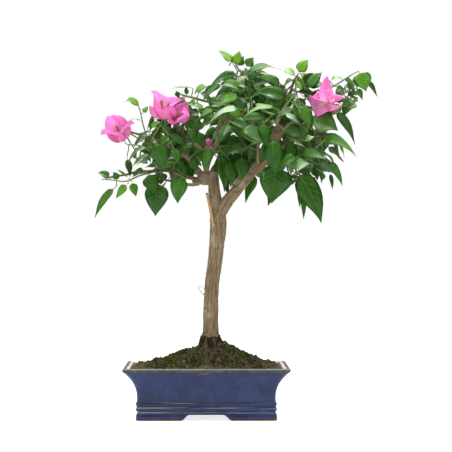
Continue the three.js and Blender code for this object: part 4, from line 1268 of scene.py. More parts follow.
class SoilSettings(PropertyGroup):
    """Looks of the soil and moss."""
    earth: colour_setting("Earth", "Colour of the damp soil", (0.012, 0.010, 0.005))
    dry_earth: colour_setting("Dry earth", "Colour of crumbs that have dried", (0.085, 0.065, 0.032))
    moss: colour_setting("Moss", "Colour of the moss", (0.050, 0.060, 0.010))
    roughness_height: length_setting("Crumb height", "Height of the soil's crumbs", 0.0026, 0, 0.005)
    crumbs: count_setting("Crumbs", "Number of loose crumbs of soil", 1500, 6000)
    tufts: count_setting("Moss tufts", "Number of small tufts of moss", 5200, 9000)
    grit: count_setting("Grit", "Number of pale grains", 70, 1000)
    fibres: count_setting("Fibres", "Number of reddish fibres", 170, 1000)


class BarkSettings(PropertyGroup):
    """Sizes and colours of the trunk and boughs."""
    ridge: colour_setting("Ridges", "Colour of the bark's ridges", (0.20, 0.148, 0.080))
    crack: colour_setting("Cracks", "Colour deep in the bark's cracks", (0.045, 0.030, 0.016))
    peeled: colour_setting("Peeled wood", "Colour of the dead, peeled stick", (0.42, 0.24, 0.10))
    crack_depth: length_setting("Crack depth", "Depth of the bark's cracks", 0.0007, 0, 0.003)
    crack_spacing: length_setting(
        "Crack spacing", "Distance between cracks round the trunk", 0.0024, 0.001, 0.02)
    grain: length_setting(
        "Mesh grain", "Size of the faces that carry the relief", 0.00066, 0.0004, 0.003)


class LeafSettings(PropertyGroup):
    """Looks of the leaves and twigs."""
    deep: colour_setting("Deep leaves", "Colour of the old leaves", (0.018, 0.075, 0.004))
    middle: colour_setting("Full leaves", "Colour of the leaves on most twigs", (0.035, 0.125, 0.009))
    fresh: colour_setting(
        "Fresh leaves", "Colour of the leaves on the newer twigs", (0.075, 0.22, 0.014))
    young: colour_setting(
        "Young leaves", "Colour of the youngest leaves, at shoots' ends", (0.125, 0.29, 0.012))
    underside: colour_setting("Undersides", "Colour of the leaves' undersides", (0.070, 0.17, 0.025))
    # Painted sheen: the pale highlight colour painted on leaves where they face the sky.
    wax: colour_setting("Wax", "Colour of the pale wax on leaves that face the sky", (0.50, 0.60, 0.44))
    rib: colour_setting(
        "Stalks and ribs", "Colour of the leaf stalks and middle ribs", (0.085, 0.19, 0.025))
    wood: colour_setting("Woody twigs", "Colour of the older twigs", (0.12, 0.085, 0.045))
    thickness: length_setting(
        "Leaf thickness", "Thickness of a leaf at its middle", 0.0004, 0.0002, 0.002)


class BlossomSettings(PropertyGroup):
    """Looks of the bracts."""
    bract: colour_setting("Bracts", "Colour of the papery bracts", (0.66, 0.15, 0.415))
    flush: colour_setting("Flush", "Warmer colour at the middle of a bract", (0.66, 0.215, 0.25))
    tube: colour_setting("Tubes", "Colour of the slender true flowers", (0.13, 0.075, 0.03))


class StageSettings(PropertyGroup):
    """The camera, light and floor."""
    distance: length_setting(
        "Camera distance", "From the camera to the plant's middle plane", CAMERA_DISTANCE * METRES, 0.5, 10)
    height: length_setting("Camera height", "Height of the camera", CAMERA_HEIGHT * METRES, 0, 3)
    floor: colour_setting("Floor", "Colour of the floor", (0.5, 0.5, 0.5))
    glow: FloatProperty(
        name="Floor glow", description="How bright the lit floor is by itself", default=0.78, min=0)
    key: FloatProperty(
        name="Key light", description="Power of the strongest soft lights, in watts", default=34, min=0)
    sky: FloatProperty(
        name="Room light", description="Strength of the light of the room", default=0.8, min=0)


# The pot

def pot_profile():
    """The pot's section as half length, height and kind: 0 underside and foot, 1 outside,
    2 inside. It runs from the middle of the underside, down the recess, round the foot, up the
    outside, over the lip and down the inside to the middle of the floor."""
    inner_foot = FOOT_HALF - FOOT_WIDTH
    line = [(30, RECESS_TOP, 0), (55, RECESS_TOP, 0), (inner_foot - 0.6, RECESS_TOP, 0),
            (inner_foot, RECESS_TOP - 0.5, 0), (inner_foot, 0.4, 0), (inner_foot + 0.5, 0, 0),
            (FOOT_HALF - 0.6, 0, 0), (FOOT_HALF, 0.5, 1)]
    line += [(FOOT_HALF, height, 1) for height in (1.5, 2.5, 3.5, 4.4)]
    waist = BAND_HALF - GROOVE_DEPTH
    for share in (0.15, 0.4, 0.7, 1.0):
        line.append((FOOT_HALF + (waist - FOOT_HALF) * share ** 1.4,
                     FOOT_SPLAY + (ANKLE - FOOT_SPLAY) * share, 1))
    for low, high in zip(BAND_EDGES, BAND_EDGES[1:]):
        middle, reach = (low + high) / 2, (high - low) / 2
        line.append((waist, low, 1))
        for angle in np.linspace(-1, 1, 9):
            rise = GROOVE_DEPTH * (1 - abs(angle) ** 5)
            line.append((waist + rise + 0.25 * (1 - angle * angle), middle + reach * 0.96 * angle, 1))
    line.append((waist, BAND_EDGES[2], 1))
    line.append((waist + 0.15, BAND_EDGES[2] + 1.0, 1))
    for share in np.linspace(0, 1, 22)[1:]:
        half = WAIST_HALF + (LIP_HALF - WAIST_HALF) * share ** FLARE_POWER
        line.append((half, WAIST_TOP + (LIP_UNDERSIDE - WAIST_TOP) * share, 1))
    rim = RIM_LENGTH / 2
    line += [(rim - 0.75, 58.3, 1), (rim - 0.15, 59.2, 1), (rim, 60.1, 1), (rim - 0.12, 61.0, 1),
             (rim - 0.55, 61.8, 1), (rim - 1.4, 62.3, 1), (rim - 2.6, RIM_TOP, 1),
             (rim - 4.6, RIM_TOP, 1), (rim - 6.0, 62.3, 2), (rim - 7.1, 61.8, 2)]
    inner = SmoothLine([(half, height, 0) for half, height in reversed(INNER_WALL)])
    line += [(half, height, 2) for half, height, _ in inner.at(np.linspace(0, 1, 24))]
    line += [(70, FLOOR_TOP - 0.2, 2), (50, FLOOR_TOP - 0.3, 2), (30, FLOOR_TOP - 0.3, 2)]
    return np.array(line)


def rounded_path(side_steps, corner_steps):
    """The pot's plan as a path: at each point the signs that the half length and half depth take,
    and the way out of the corner's arc. A side's points lie between its two corners' arcs."""
    signs, arcs = [], []
    corners = ((1, -1), (1, 1), (-1, 1), (-1, -1))
    for number, (east, north) in enumerate(corners):
        for step in range(corner_steps + 1):
            angle = (number - 1 + step / corner_steps) * math.pi / 2
            signs.append((east, north))
            arcs.append((math.cos(angle), math.sin(angle)))
        following = corners[(number + 1) % 4]
        angle = number * math.pi / 2
        for step in range(1, side_steps):
            share = step / side_steps
            signs.append((east + (following[0] - east) * share, north + (following[1] - north) * share))
            arcs.append((math.cos(angle), math.sin(angle)))
    return np.array(signs, float), np.array(arcs)


def foot_lift(x, y):
    """How high the gap between two feet is at a place of the plan: 0 on the feet, rising by a
    smooth step where the gap narrows from its foot width to its top width."""
    lift = np.zeros_like(x)
    for place, cut in ((x, LONG_CUT), (y, SHORT_CUT)):
        share = (cut[0] / 2 - np.abs(place)) / ((cut[0] - cut[1]) / 2)
        lift = np.maximum(lift, CUT_HEIGHT * ease(share, 0, 1))
    return lift


def build_pot(settings):
    """The pot is its section carried round its plan: the corner radius is kept all the way up,
    and heights under the ankle are squeezed up by the gaps between the feet."""
    profile = pot_profile()
    signs, arcs = rounded_path(56, 7)
    half, section_height, kind = (profile[:, [place]] for place in range(3))
    depth = half - (RIM_LENGTH - RIM_DEPTH) / 2
    radius = np.minimum(CORNER_RADIUS, depth * 0.8)
    x = signs[:, 0] * (half - radius) + radius * arcs[:, 0]
    y = signs[:, 1] * (depth - radius) + radius * arcs[:, 1]
    height = np.repeat(section_height, len(signs), axis=1)
    lift = foot_lift(x, y)
    recess = lift * RECESS_TOP / CUT_HEIGHT
    squeezed = np.where(
        kind == 0, recess + height * (RECESS_TOP - recess) / RECESS_TOP,
        lift + height * (ANKLE - lift) / ANKLE)
    height = np.where(height < np.where(kind == 0, RECESS_TOP, ANKLE), squeezed, height)
    waver = noise(np.stack([x / 60, y / 60, height / 40], axis=-1), 5) * 0.35
    waver = waver * ((kind == 1) & (height > ANKLE) & (height < RIM_TOP - 1))
    rings = np.stack([x + waver * arcs[:, 0], y + waver * arcs[:, 1], height], axis=-1)
    inside = np.append(np.repeat((profile[:, 2] == 2) * 1.0, len(signs)), (0, 1))
    bag = Bag()
    bag.add(*ringed(rings, (0, 0, RECESS_TOP), (0, 0, FLOOR_TOP - 0.3)), inside=inside)
    finish(bag.make("glazed_pot", [glaze_material(settings)]), ["pot"])


def glaze_material(settings):
    """Blue glaze, darker where it pools, with painted shade under the lip and in the mouldings' grooves; it
    thins to grey-green on the rim and to pale streaks on the mouldings' upper edges that are partly a
    painted highlight, has a painted highlight along the rim's top, is cream inside and dark brown below the
    inner rim, and stops short of the feet, where the clay is bare."""
    shader = Shader("blue_glaze", 0.22)
    place = shader.place()
    height = shader.axis(place, "Z")
    cloud = shader.noise(place, 34, 4, 0.6)
    runs = shader.noise(shader.scaled(place, (1, 1, 0.22)), 120, 3, 0.6)
    specks = shader.noise(place, 900, 2, 0.6)
    glaze = shader.mix(shader.step(cloud + runs * 0.35, 0.5, 0.85), settings.pooled, settings.glaze)
    warm = shader.step(specks * 0.6 + cloud * 0.5, 0.60, 0.72) * 0.22
    glaze = shader.mix(warm, glaze, (0.16, 0.10, 0.16))
    # Painted shade: the wall just under the lip is painted darker, in the pooled glaze colour.
    painted_shade_under_lip = shader.step(height, 0.048, 0.059)
    glaze = shader.mix(painted_shade_under_lip * 0.6, glaze, settings.pooled)
    # Along the mouldings' upper edges, pale streaks that are partly thin glaze and partly a painted
    # highlight.
    streaks = shader.noise(shader.scaled(place, (0.10, 0.10, 3.0)), 130, 3, 0.5)
    thin = 0.0
    for edge in BAND_EDGES:
        bright = shader.near(height, (edge - 1.0) * METRES, 0.0003, 0.0013)
        thin = shader.math("MAXIMUM", thin, bright)
        # Painted shade: the groove at each moulding's edge is painted near black.
        painted_groove_shade = shader.near(height, (edge + 0.1) * METRES, 0.0002, 0.0008)
        glaze = shader.mix(painted_groove_shade * 0.8, glaze, (0.010, 0.012, 0.014))
    glaze = shader.mix(thin * shader.step(streaks, 0.44, 0.60), glaze, settings.thin)
    lip = shader.step(height, (RIM_TOP - 4.4) * METRES, (RIM_TOP - 3.4) * METRES)
    olive = shader.mix(shader.step(runs, 0.35, 0.7), (0.030, 0.030, 0.018), (0.060, 0.068, 0.055))
    glaze = shader.mix(lip * 0.9, glaze, olive)
    # Painted highlight: a pale band along the rim's rounded top edge.
    painted_rim_highlight = shader.step(height, (RIM_TOP - 1.6) * METRES, (RIM_TOP - 0.5) * METRES)
    glaze = shader.mix(painted_rim_highlight * 0.7, glaze, (0.17, 0.18, 0.145))
    for spot, size, tone in BLEMISHES:
        middle = tuple((PLAN_ORIGIN + np.array(spot)) * METRES)
        offset = shader.node("VectorMath", 0, {0: place, 1: middle}, operation="SUBTRACT")
        offset = shader.scaled(offset, tuple(1 / (part * METRES) for part in size))
        distance = shader.node("VectorMath", "Value", {0: offset}, operation="LENGTH")
        spotted = 1 - shader.step(distance + (specks - 0.5) * 0.9, 0.7, 1.1)
        glaze = shader.mix(spotted * 0.85, glaze, tone)
    inner = shader.attribute("inside")
    stain = shader.step(shader.noise(place, 160, 3), 0.5, 0.75) * 0.35
    cream = shader.mix(stain, settings.inside, (0.30, 0.27, 0.2))
    # The inside wall is painted dark brown from the soil up to just under the rim.
    darker_below_inner_rim = 1 - shader.step(height + (runs - 0.5) * 0.004, 0.0595, 0.0612)
    cream = shader.mix(darker_below_inner_rim * 0.85, cream, (0.045, 0.036, 0.02))
    colour = shader.mix(inner, glaze, cream)
    edge = (shader.noise(place, 90, 2) - 0.5) * 0.0035 + settings.bare_height
    bare = 1 - shader.step(height - edge, -0.0002, 0.0003)
    clay = shader.mix(shader.noise(place, 260, 3), settings.clay, (0.085, 0.034, 0.022))
    colour = shader.mix(bare, colour, clay)
    roughness = bare * 0.6 + inner * 0.25 + specks * 0.05 + 0.15
    relief = cloud * 0.6 + specks * 0.15 + bare * shader.noise(place, 700, 2)
    return shader.finish(colour, roughness, relief, 0.0004)


# The soil

def soil_height(x, y):
    """The mound: the distance left to its edge raised to a power, and less high to the left of the
    trunk than to the right. Broad lumps are the mean of three crossing cosine waves, evened out at
    the trunk and the wall. The collar rises over both with the square of the share of its width."""
    east, north = (x - MOUND_CENTRE) / MOUND_REACH[0], y / MOUND_REACH[1]
    distance = np.minimum(1, np.hypot(east, north))
    facing = east / np.maximum(distance, 0.001)
    power = MOUND_STEEPNESS + MOUND_LEAN * facing
    lump = sum(np.cos(2 * math.pi * (x * math.cos(way) + y * math.sin(way)) / LUMP_SPACING + way)
               for way in LUMP_WAYS) / len(LUMP_WAYS)
    overhang = (RIM_LENGTH - RIM_DEPTH) / 2
    to_wall = np.minimum(SOIL_HALF - np.abs(x), SOIL_HALF - overhang - np.abs(y))
    from_trunk = np.hypot(x - COLLAR_CENTRE, y)
    inner, outer = COLLAR_RADII
    fade = np.clip(np.minimum(to_wall, from_trunk - outer) / LUMP_FADE, 0, 1)
    heap = SOIL_EDGE + (MOUND_HEIGHT + MOUND_TILT * facing) * (1 - distance) ** power
    heap = heap + LUMP_HEIGHT * lump * fade
    collar = np.clip((outer - from_trunk) / (outer - inner), 0, 1)
    return heap + (COLLAR_TOP - heap) * collar ** 2


def moss_share(x, y):
    """Where moss grows, from 0 to 1: two bright patches that the photo shows, and patches of
    noise on the mound's lower half."""
    places = np.stack([x / 17, y / 17, np.zeros_like(x)], axis=-1)
    patches = ease(layered(places, 3, 21) + 0.12, -0.05, 0.35)
    right = np.exp(-(((x - 43) / 17) ** 2 + ((y + 16) / 20) ** 2))
    left = np.exp(-(((x + 48) / 20) ** 2 + ((y + 34) / 18) ** 2))
    distance = np.hypot((x - MOUND_CENTRE) / 30, y / 26)
    near = ease(distance, 0.45, 1.1)
    return np.clip(patches * near * 0.45 + right * 0.9 + left * 1.2, 0, 1)


def crumb_share(settings):
    """How high the crumbs are, as a share of what their formula gives."""
    return settings.roughness_height / METRES / CRUMB_BASE


def soil_surface(x, y, settings):
    """The soil's height with its crumbs: banked up near the wall, with broad lumps, rounded
    crumbs of two sizes that stand out of them, and a ragged grain."""
    flat = np.stack([x, y, np.zeros_like(x)], axis=-1)
    large = (np.clip(0.62 - pebbles(flat / 4.6, 7), -0.1, 1) - 0.12) * 3.0
    small = (np.clip(0.6 - pebbles(flat / 1.9, 11), -0.1, 1) - 0.1) * 1.3
    ragged = noise(flat / 1.1, 13) * 0.35
    to_wall = np.maximum(np.abs(x) / SOIL_HALF, np.abs(y) / (SOIL_HALF - 25))
    broad = BANK_HEIGHT * ease(to_wall, 0.7, 0.95) + layered(flat / 11, 2, 3) * 0.5
    return soil_height(x, y) + broad + (large + small + ragged) * crumb_share(settings)


def build_soil(settings):
    """A grid over a square whose corners are rounded, raised by the soil's height, with a wall
    down to a flat base. The square's edge points keep their distance from the pot's wall."""
    half_x = INNER_WALL[2][0] + SOIL_REACH
    half_y = half_x - (RIM_LENGTH - RIM_DEPTH) / 2
    x, y = np.meshgrid(*(np.linspace(-half, half, steps)
                         for half, steps in zip((half_x, half_y), SOIL_GRID)))
    over_x = np.abs(x) - (half_x - CORNER_RADIUS)
    over_y = np.abs(y) - (half_y - CORNER_RADIUS)
    corner = (over_x > 0) & (over_y > 0)
    reach = np.maximum(over_x, over_y) / np.maximum(np.hypot(over_x, over_y), 1e-6)
    x = np.where(corner, np.sign(x) * (half_x - CORNER_RADIUS + over_x * reach), x)
    y = np.where(corner, np.sign(y) * (half_y - CORNER_RADIUS + over_y * reach), y)
    edge = np.minimum(half_x - np.abs(x), half_y - np.abs(y))
    height = soil_surface(x, y, settings) - 1.2 * np.exp(-edge / 2.0)
    top = np.stack([x, y, height], axis=-1).reshape(-1, 3)
    number = np.arange(len(top)).reshape(x.shape)
    rim = np.concatenate([number[0, :-1], number[:-1, -1], number[-1, :0:-1], number[:0:-1, 0]])
    rings = []
    for share, level in WALL_RINGS:
        scale = (BASE_HALF + (half_x - BASE_HALF) * share) / half_x
        rings.append(np.column_stack([top[rim, :2] * scale, np.full(len(rim), level)]))
    vertices = np.vstack([top, *rings, (0, 0, WALL_RINGS[-1][1])])
    loops = np.stack([rim, *(len(top) + np.arange(2 * len(rim)).reshape(2, -1))])
    quads = np.vstack([grid_quads(number), grid_quads(wrapped(loops), (0, 3, 2, 1))])
    x, y, height = vertices.T
    depth = np.clip((height - soil_height(x, y)) / (2 * crumb_share(settings)), -1, 1) * 0.5 + 0.5
    bag = Bag()
    bag.add(vertices, quads, fan(loops[2], len(vertices) - 1, False), moss=moss_share(x, y), depth=depth)
    finish(bag.make("soil_mound", [soil_material(settings)]), ["soil"])


def soil_material(settings):
    """Damp earth with painted shade between its crumbs, dried crumbs and a film of moss."""
    shader = Shader("damp_soil", 0.1)
    place = shader.place()
    fine = shader.noise(place, 900, 4, 0.7)
    cloud = shader.noise(place, 70, 3)
    depth = shader.attribute("depth")
    dry = shader.step(cloud * 0.5 + fine * 0.6 + depth * 0.35, 0.62, 0.95)
    earth = shader.mix(dry, settings.earth, settings.dry_earth)
    moss = shader.attribute("moss") * shader.step(fine + depth * 0.4, 0.45, 0.8)
    tint = shader.mix(shader.step(fine, 0.35, 0.7), (0.03, 0.038, 0.008), settings.moss)
    # Painted shade: where a point lies low among the crumbs, its colour is taken towards near black.
    painted_crevice_shade = 1 - shader.step(depth + (fine - 0.5) * 0.5, 0.25, 0.6)
    colour = shader.mix(painted_crevice_shade * 0.8, shader.mix(moss, earth, tint), (0.006, 0.005, 0.003))
    return shader.finish(colour, fine * 0.15 + 0.8, fine + cloud * 0.5, 0.0009)


def scattered(count, seed, spread=1.0):
    """Repeatable places over the soil as x, y and a generator for what stands on them."""
    random = np.random.default_rng(seed)
    half_x = INNER_WALL[2][0] * spread
    half_y = half_x - (RIM_LENGTH - RIM_DEPTH) / 2
    x = random.uniform(-half_x, half_x, count)
    y = random.uniform(-half_y, half_y, count)
    return x, y, random


def copies(shape, faces):
    """Vertices and triangles of many small shapes with the same faces. The shape has a row of
    points for each of them."""
    shifts = np.arange(len(shape))[:, None, None] * shape.shape[1]
    return {"vertices": shape.reshape(-1, 3), "triangles": (np.array(faces) + shifts).reshape(-1, 3)}


def grains(x, y, sizes, random, settings, flatness):
    """Rough grains: a six-sided double cone to each place, its corners moved in and out at
    random, sunk to its middle."""
    sides = [(side, (side + 1) % 6) for side in range(6)]
    faces = [(*pair, 6) for pair in sides] + [(*pair[::-1], 7) for pair in sides]
    shape = np.array(GRAIN_CORNERS) * random.uniform(0.7, 1.25, (len(x), len(GRAIN_CORNERS), 1))
    turn = random.uniform(0, 2 * math.pi, len(x))
    cosine, sine = np.cos(turn)[:, None], np.sin(turn)[:, None]
    east = shape[..., 0] * cosine - shape[..., 1] * sine
    north = shape[..., 0] * sine + shape[..., 1] * cosine
    shape = np.stack([east, north, shape[..., 2] * flatness], axis=-1) * sizes[:, None, None]
    ground = np.column_stack([x, y, soil_surface(x, y, settings)])
    return copies(shape + ground[:, None], faces)


def build_ground_cover(settings):
    """Loose crumbs, pale grit, tufts of moss and reddish fibres on the soil."""
    earth = speckled(
        "crumb_earth", 0.1, (420, 3, 0.6),
        ((0.3, (0.010, 0.008, 0.004)), (0.55, (0.035, 0.027, 0.014)), (0.75, (0.12, 0.09, 0.05))),
        (0.95, 0), 0.0003)
    stone = speckled(
        "pale_grit", 0.5, (600, 3, 0.6), ((0.20, 0.17, 0.10), (0.62, 0.56, 0.42)), (0.8, 0), 0.0002)
    for name, count, seed, spread, sizes, flatness, material in (
            ("soil_crumbs", settings.crumbs, 31, 1.0, (0.5, 1.5), 0.75, earth),
            ("pale_grit", settings.grit, 37, 0.96, (0.4, 1.0), 0.6, stone)):
        x, y, random = scattered(count, seed, spread)
        bag = Bag()
        bag.add(**grains(x, y, random.uniform(*sizes, count), random, settings, flatness))
        finish(bag.make(name, [material], smooth=False), ["soil"])
    build_moss(settings)
    build_fibres(settings)


def build_moss(settings):
    """Tufts of moss: to each place that keeps enough moss, small upright blades with a folded
    back that lean out all round."""
    x, y, random = scattered(settings.tufts, 41)
    kept = random.uniform(0, 1, len(x)) < moss_share(x, y) ** 1.3
    x, y = x[kept], y[kept]
    ground = np.column_stack([x, y, soil_surface(x, y, settings) - 0.3])
    angle, lean, length, width = (
        random.uniform(low, high, (len(x), 5))
        for low, high in ((0, 2 * math.pi), (0.2, 1.1), (0.9, 2.3), (0.16, 0.34)))
    out = np.stack([np.cos(angle) * np.sin(lean), np.sin(angle) * np.sin(lean), np.cos(lean)], axis=-1)
    across = np.stack([-np.sin(angle), np.cos(angle), np.zeros_like(angle)], axis=-1)
    root = ground[:, None] + out * 0.2
    tip = root + out * length[..., None]
    middle = (root + tip) / 2 + UP * 0.12
    side = across * width[..., None]
    back = np.cross(out, across) * width[..., None] * 0.5
    corners = np.stack([root, middle + side, tip, middle - side, middle + back], axis=2)
    bag = Bag()
    bag.add(**copies(corners.reshape(-1, 5, 3), TUFT_FACES))
    moss = speckled(
        "green_moss", 0.1, (130, 3),
        ((0.3, (0.018, 0.022, 0.005)), (0.5, settings.moss), (0.72, (0.13, 0.15, 0.025))), (0.7, 0.25))
    finish(bag.make("moss", [moss], smooth=False), ["soil"])


def build_fibres(settings):
    """Reddish fibres: thin three-sided bows that lie on the soil and lift at one end."""
    x, y, random = scattered(settings.fibres, 43, 0.94)
    bag = Bag()
    shares = np.linspace(-0.5, 0.5, 6)
    field_x, field_y = FIBRE_FIELD
    for begin_x, begin_y in zip(x, y):
        turn = random.uniform(0, 2 * math.pi)
        length = random.uniform(4, 13)
        along = shares * length
        aside = random.uniform(-0.35, 0.35) * length * shares ** 2 * 2
        east = begin_x + along * math.cos(turn) - aside * math.sin(turn)
        north = begin_y + along * math.sin(turn) + aside * math.cos(turn)
        east, north = np.clip(east, -field_x, field_x), np.clip(north, -field_y, field_y)
        rise = soil_surface(east, north, settings) + 0.2 + random.uniform(0, 1.2) * (shares + 0.5) ** 2
        bag.add(*tube(np.column_stack([east, north, rise]), np.linspace(0.22, 0.1, 6), 3))
    fibre = speckled("dry_fibre", 0.5, (200, 2), ((0.09, 0.045, 0.022), (0.30, 0.19, 0.10)), (0.7, 0.2))
    finish(bag.make("dry_fibres", [fibre]), ["soil"])


# Trunk and boughs

def limb_table():
    """Each limb as name, line and a function of the share of its length that gives its radius."""
    trunk = SmoothLine(TRUNK_LINE)
    limbs = [("trunk", trunk, lambda shares: trunk.at(shares)[:, 3])]
    for name, (base, tip, route) in BOUGHS.items():

        def width(shares, base=base, tip=tip, heavy=name == "bough_right"):
            swell = 0.0 if heavy else 1.1 * np.exp(-shares / 0.12)
            return base + (tip - base) * shares + swell

        limbs.append((name, SmoothLine(route), width))
    return limbs


def ball(centre, size, rows=14, columns=24):
    """A round lump: rings of a sphere stretched by its three sizes."""
    slope = np.linspace(0, math.pi, rows + 2)[1:-1, None]
    angles = np.linspace(0, 2 * math.pi, columns, endpoint=False)
    sphere = np.stack(np.broadcast_arrays(
        np.cos(angles) * np.sin(slope), np.sin(angles) * np.sin(slope), -np.cos(slope)), axis=-1)
    pole = np.array([0, 0, size[2]])
    return ringed(sphere * size + centre, centre - pole, centre + pole)


def joined_skin(bag, grain, name):
    """The bag's skins made one by a fine grid of cells, then evened: each vertex moves towards
    the middle of its neighbours, several times."""
    skin = bag.make(name)
    joiner = skin.modifiers.new("One skin", "REMESH")
    joiner.mode = "VOXEL"
    joiner.voxel_size = grain
    evener = skin.modifiers.new("Evened", "SMOOTH")
    evener.factor = 0.5
    evener.iterations = 5
    bpy.context.view_layer.update()
    evaluated = skin.evaluated_get(bpy.context.evaluated_depsgraph_get())
    mesh = bpy.data.meshes.new_from_object(evaluated)
    skin.modifiers.clear()
    rough, skin.data = skin.data, mesh
    bpy.data.meshes.remove(rough)
    mesh.name = name
    return skin


def limb_coordinates(places):
    """For each place, in the nearest limb's own coordinates: how far round and along it lies, the
    limb's radius there and the limb's number."""
    rows = []
    for number, (_, line, width) in enumerate(limb_table()):
        length = line.length()
        at = np.linspace(0, 1, math.ceil(length / 1.5) + 1)
        points = line.at(at)[:, :3]
        rows.append(np.column_stack(
            [points, *ring_frame(points), at * length, width(at), np.full(len(at), number)]))
    rows = np.concatenate(rows)
    nearest = np.zeros(len(places), int)
    for begin in range(0, len(places), 4000):
        part = places[begin:begin + 4000]
        gap = np.linalg.norm(part[:, None] - rows[:, :3], axis=2) - rows[:, 13]
        nearest[begin:begin + 4000] = gap.argmin(axis=1)
    rows = rows[nearest]
    offset = places - rows[:, :3]
    along, across, other = ((offset * rows[:, at:at + 3]).sum(axis=1) for at in (3, 6, 9))
    return np.arctan2(other, across), rows[:, 12] + along, rows[:, 13], rows[:, 14]


def bark_relief(piece, settings):
    """Moves each vertex along its normal by the bark's relief, and keeps how deep it lies. The
    relief is worked out in the nearest limb's own coordinates, stretched along it: two sizes of
    crack run where smooth noise changes sign, over broad swellings."""
    mesh = piece.data
    flat = np.zeros(len(mesh.vertices) * 3)
    mesh.vertices.foreach_get("co", flat)
    places = flat.reshape(-1, 3) / METRES - PLAN_ORIGIN
    mesh.vertices.foreach_get("normal", flat)
    angle, along, radius, owner = limb_coordinates(places)
    girth = np.maximum(radius, 1.6)
    round_x, round_y = np.cos(angle) * girth, np.sin(angle) * girth

    def pattern(across, lengthways, shift, seed, warp=0.0):
        return noise(np.stack([
            (round_x + warp) / across, (round_y - warp) / across, along / lengthways + owner * shift],
            axis=-1), seed)

    spacing, depth = settings.crack_spacing / METRES, settings.crack_depth / METRES
    coarse = pattern(spacing, spacing * 6.5, 5, 53, pattern(9, 16, 7, 51) * 1.3)
    crack = np.exp(-(coarse / 0.17) ** 2)
    split = np.exp(-(pattern(spacing * 0.5, spacing * 2.6, 3, 57) / 0.22) ** 2)
    rise = (pattern(12, 17, 1, 61) * 0.75 + coarse * 0.35 + pattern(5, 1.6, 1, 59) * 0.14
            - crack * depth - split * depth * 0.38) * np.clip(radius / 8, 0.22, 1.15)
    from_saw = places - SAW_POINT
    sawn = (np.abs(from_saw @ SAW_FACING) < 1.0) & (np.linalg.norm(from_saw, axis=1) < 22)
    sawn |= (places[:, 2] > TRUNK_LINE[-1][2] - 1.0) & (owner == 0)
    rise = np.where(sawn, noise(places / 1.6, 63) * 0.15, rise)
    moved = places + flat.reshape(-1, 3) * rise[:, None]
    mesh.vertices.foreach_set("co", ((moved + PLAN_ORIGIN) * METRES).ravel())
    write_values(mesh, {
        "crack": np.clip(crack * 0.8 + split * 0.45, 0, 1),
        "sawn": sawn * 1.0,
        "heavy": np.clip((radius - 3) / 4, 0, 1),
        "grain": np.stack([round_x, round_y, along + owner * 40], axis=-1) * METRES,
    })
    mesh.polygons.foreach_set("use_smooth", np.full(len(mesh.polygons), True))
    mesh.update()


def bark_material(settings):
    """Grey-tan ridges with dark cracks along the limb, weathered patches, a green tint at the
    foot, and the brown of old sawn wood on the cut ends."""
    shader = Shader("grey_tan_bark", 0.15)
    grain = shader.attribute("grain", "Vector")
    place = shader.place()
    streaks = shader.noise(shader.scaled(grain, (1, 1, 0.14)), 620, 4, 0.65)
    plates = shader.noise(shader.scaled(grain, (1, 1, 0.4)), 170, 3)
    cloud = shader.noise(place, 45, 3)
    crack = shader.attribute("crack")
    ridge = shader.mix(shader.step(plates, 0.35, 0.7), settings.ridge, (0.22, 0.165, 0.10))
    ridge = shader.mix(shader.step(cloud, 0.52, 0.72) * 0.5, ridge, (0.37, 0.33, 0.25))
    ridge = shader.mix(shader.step(streaks, 0.5, 0.75) * 0.55, ridge, (0.13, 0.092, 0.055))
    dark = shader.math("MINIMUM", 1.0, crack * (streaks * 0.6 + 0.25))
    colour = shader.mix(dark, ridge, settings.crack)
    thin_bark = shader.mix(streaks, (0.12, 0.085, 0.045), (0.27, 0.21, 0.13))
    colour = shader.mix(shader.attribute("heavy"), thin_bark, colour)
    foot = 1 - shader.step(shader.axis(place, "Z"), 0.1, 0.122)
    green = foot * shader.step(plates * 0.6 + cloud * 0.5, 0.48, 0.68) * 0.65
    colour = shader.mix(green, colour, (0.07, 0.095, 0.018))
    sawn = shader.mix(shader.noise(place, 260, 3), (0.045, 0.026, 0.014), (0.15, 0.09, 0.05))
    colour = shader.mix(shader.attribute("sawn"), colour, sawn)
    return shader.finish(colour, streaks * 0.12 + 0.82, streaks * 0.8 + plates * 0.4 - crack * 0.5, 0.0007)


def build_bark(settings):
    """The trunk with its burl, scars and stubs, and all boughs, as one skin with bark relief. The
    heavy bough's points beyond the saw's plane are brought back to it along its facing."""
    bag = Bag()
    for name, line, width in limb_table():
        shares = np.linspace(0, 1, max(6, math.ceil(line.length() / 2.4)) + 1)
        sides = 32 if name in ("trunk", "bough_right") else 14
        vertices, quads, triangles = tube(line.at(shares)[:, :3], width(shares), sides)
        if name == "bough_right":
            over = np.maximum(0, (vertices - SAW_POINT) @ SAW_FACING)
            vertices = vertices - over[:, None] * SAW_FACING
        bag.add(vertices, quads, triangles)
    for centre, size in ((BURL_CENTRE, BURL_SIZE), *SCARS):
        bag.add(*ball(np.array(centre), size))
    for start, end, base, tip in STUBS:
        bag.add(*tube((start, end), (base, tip), 12))
    bark = joined_skin(bag, settings.grain, "bark")
    bark_relief(bark, settings)
    bark.data.materials.append(bark_material(settings))
    finish(bark, ["trunk", *BOUGHS])


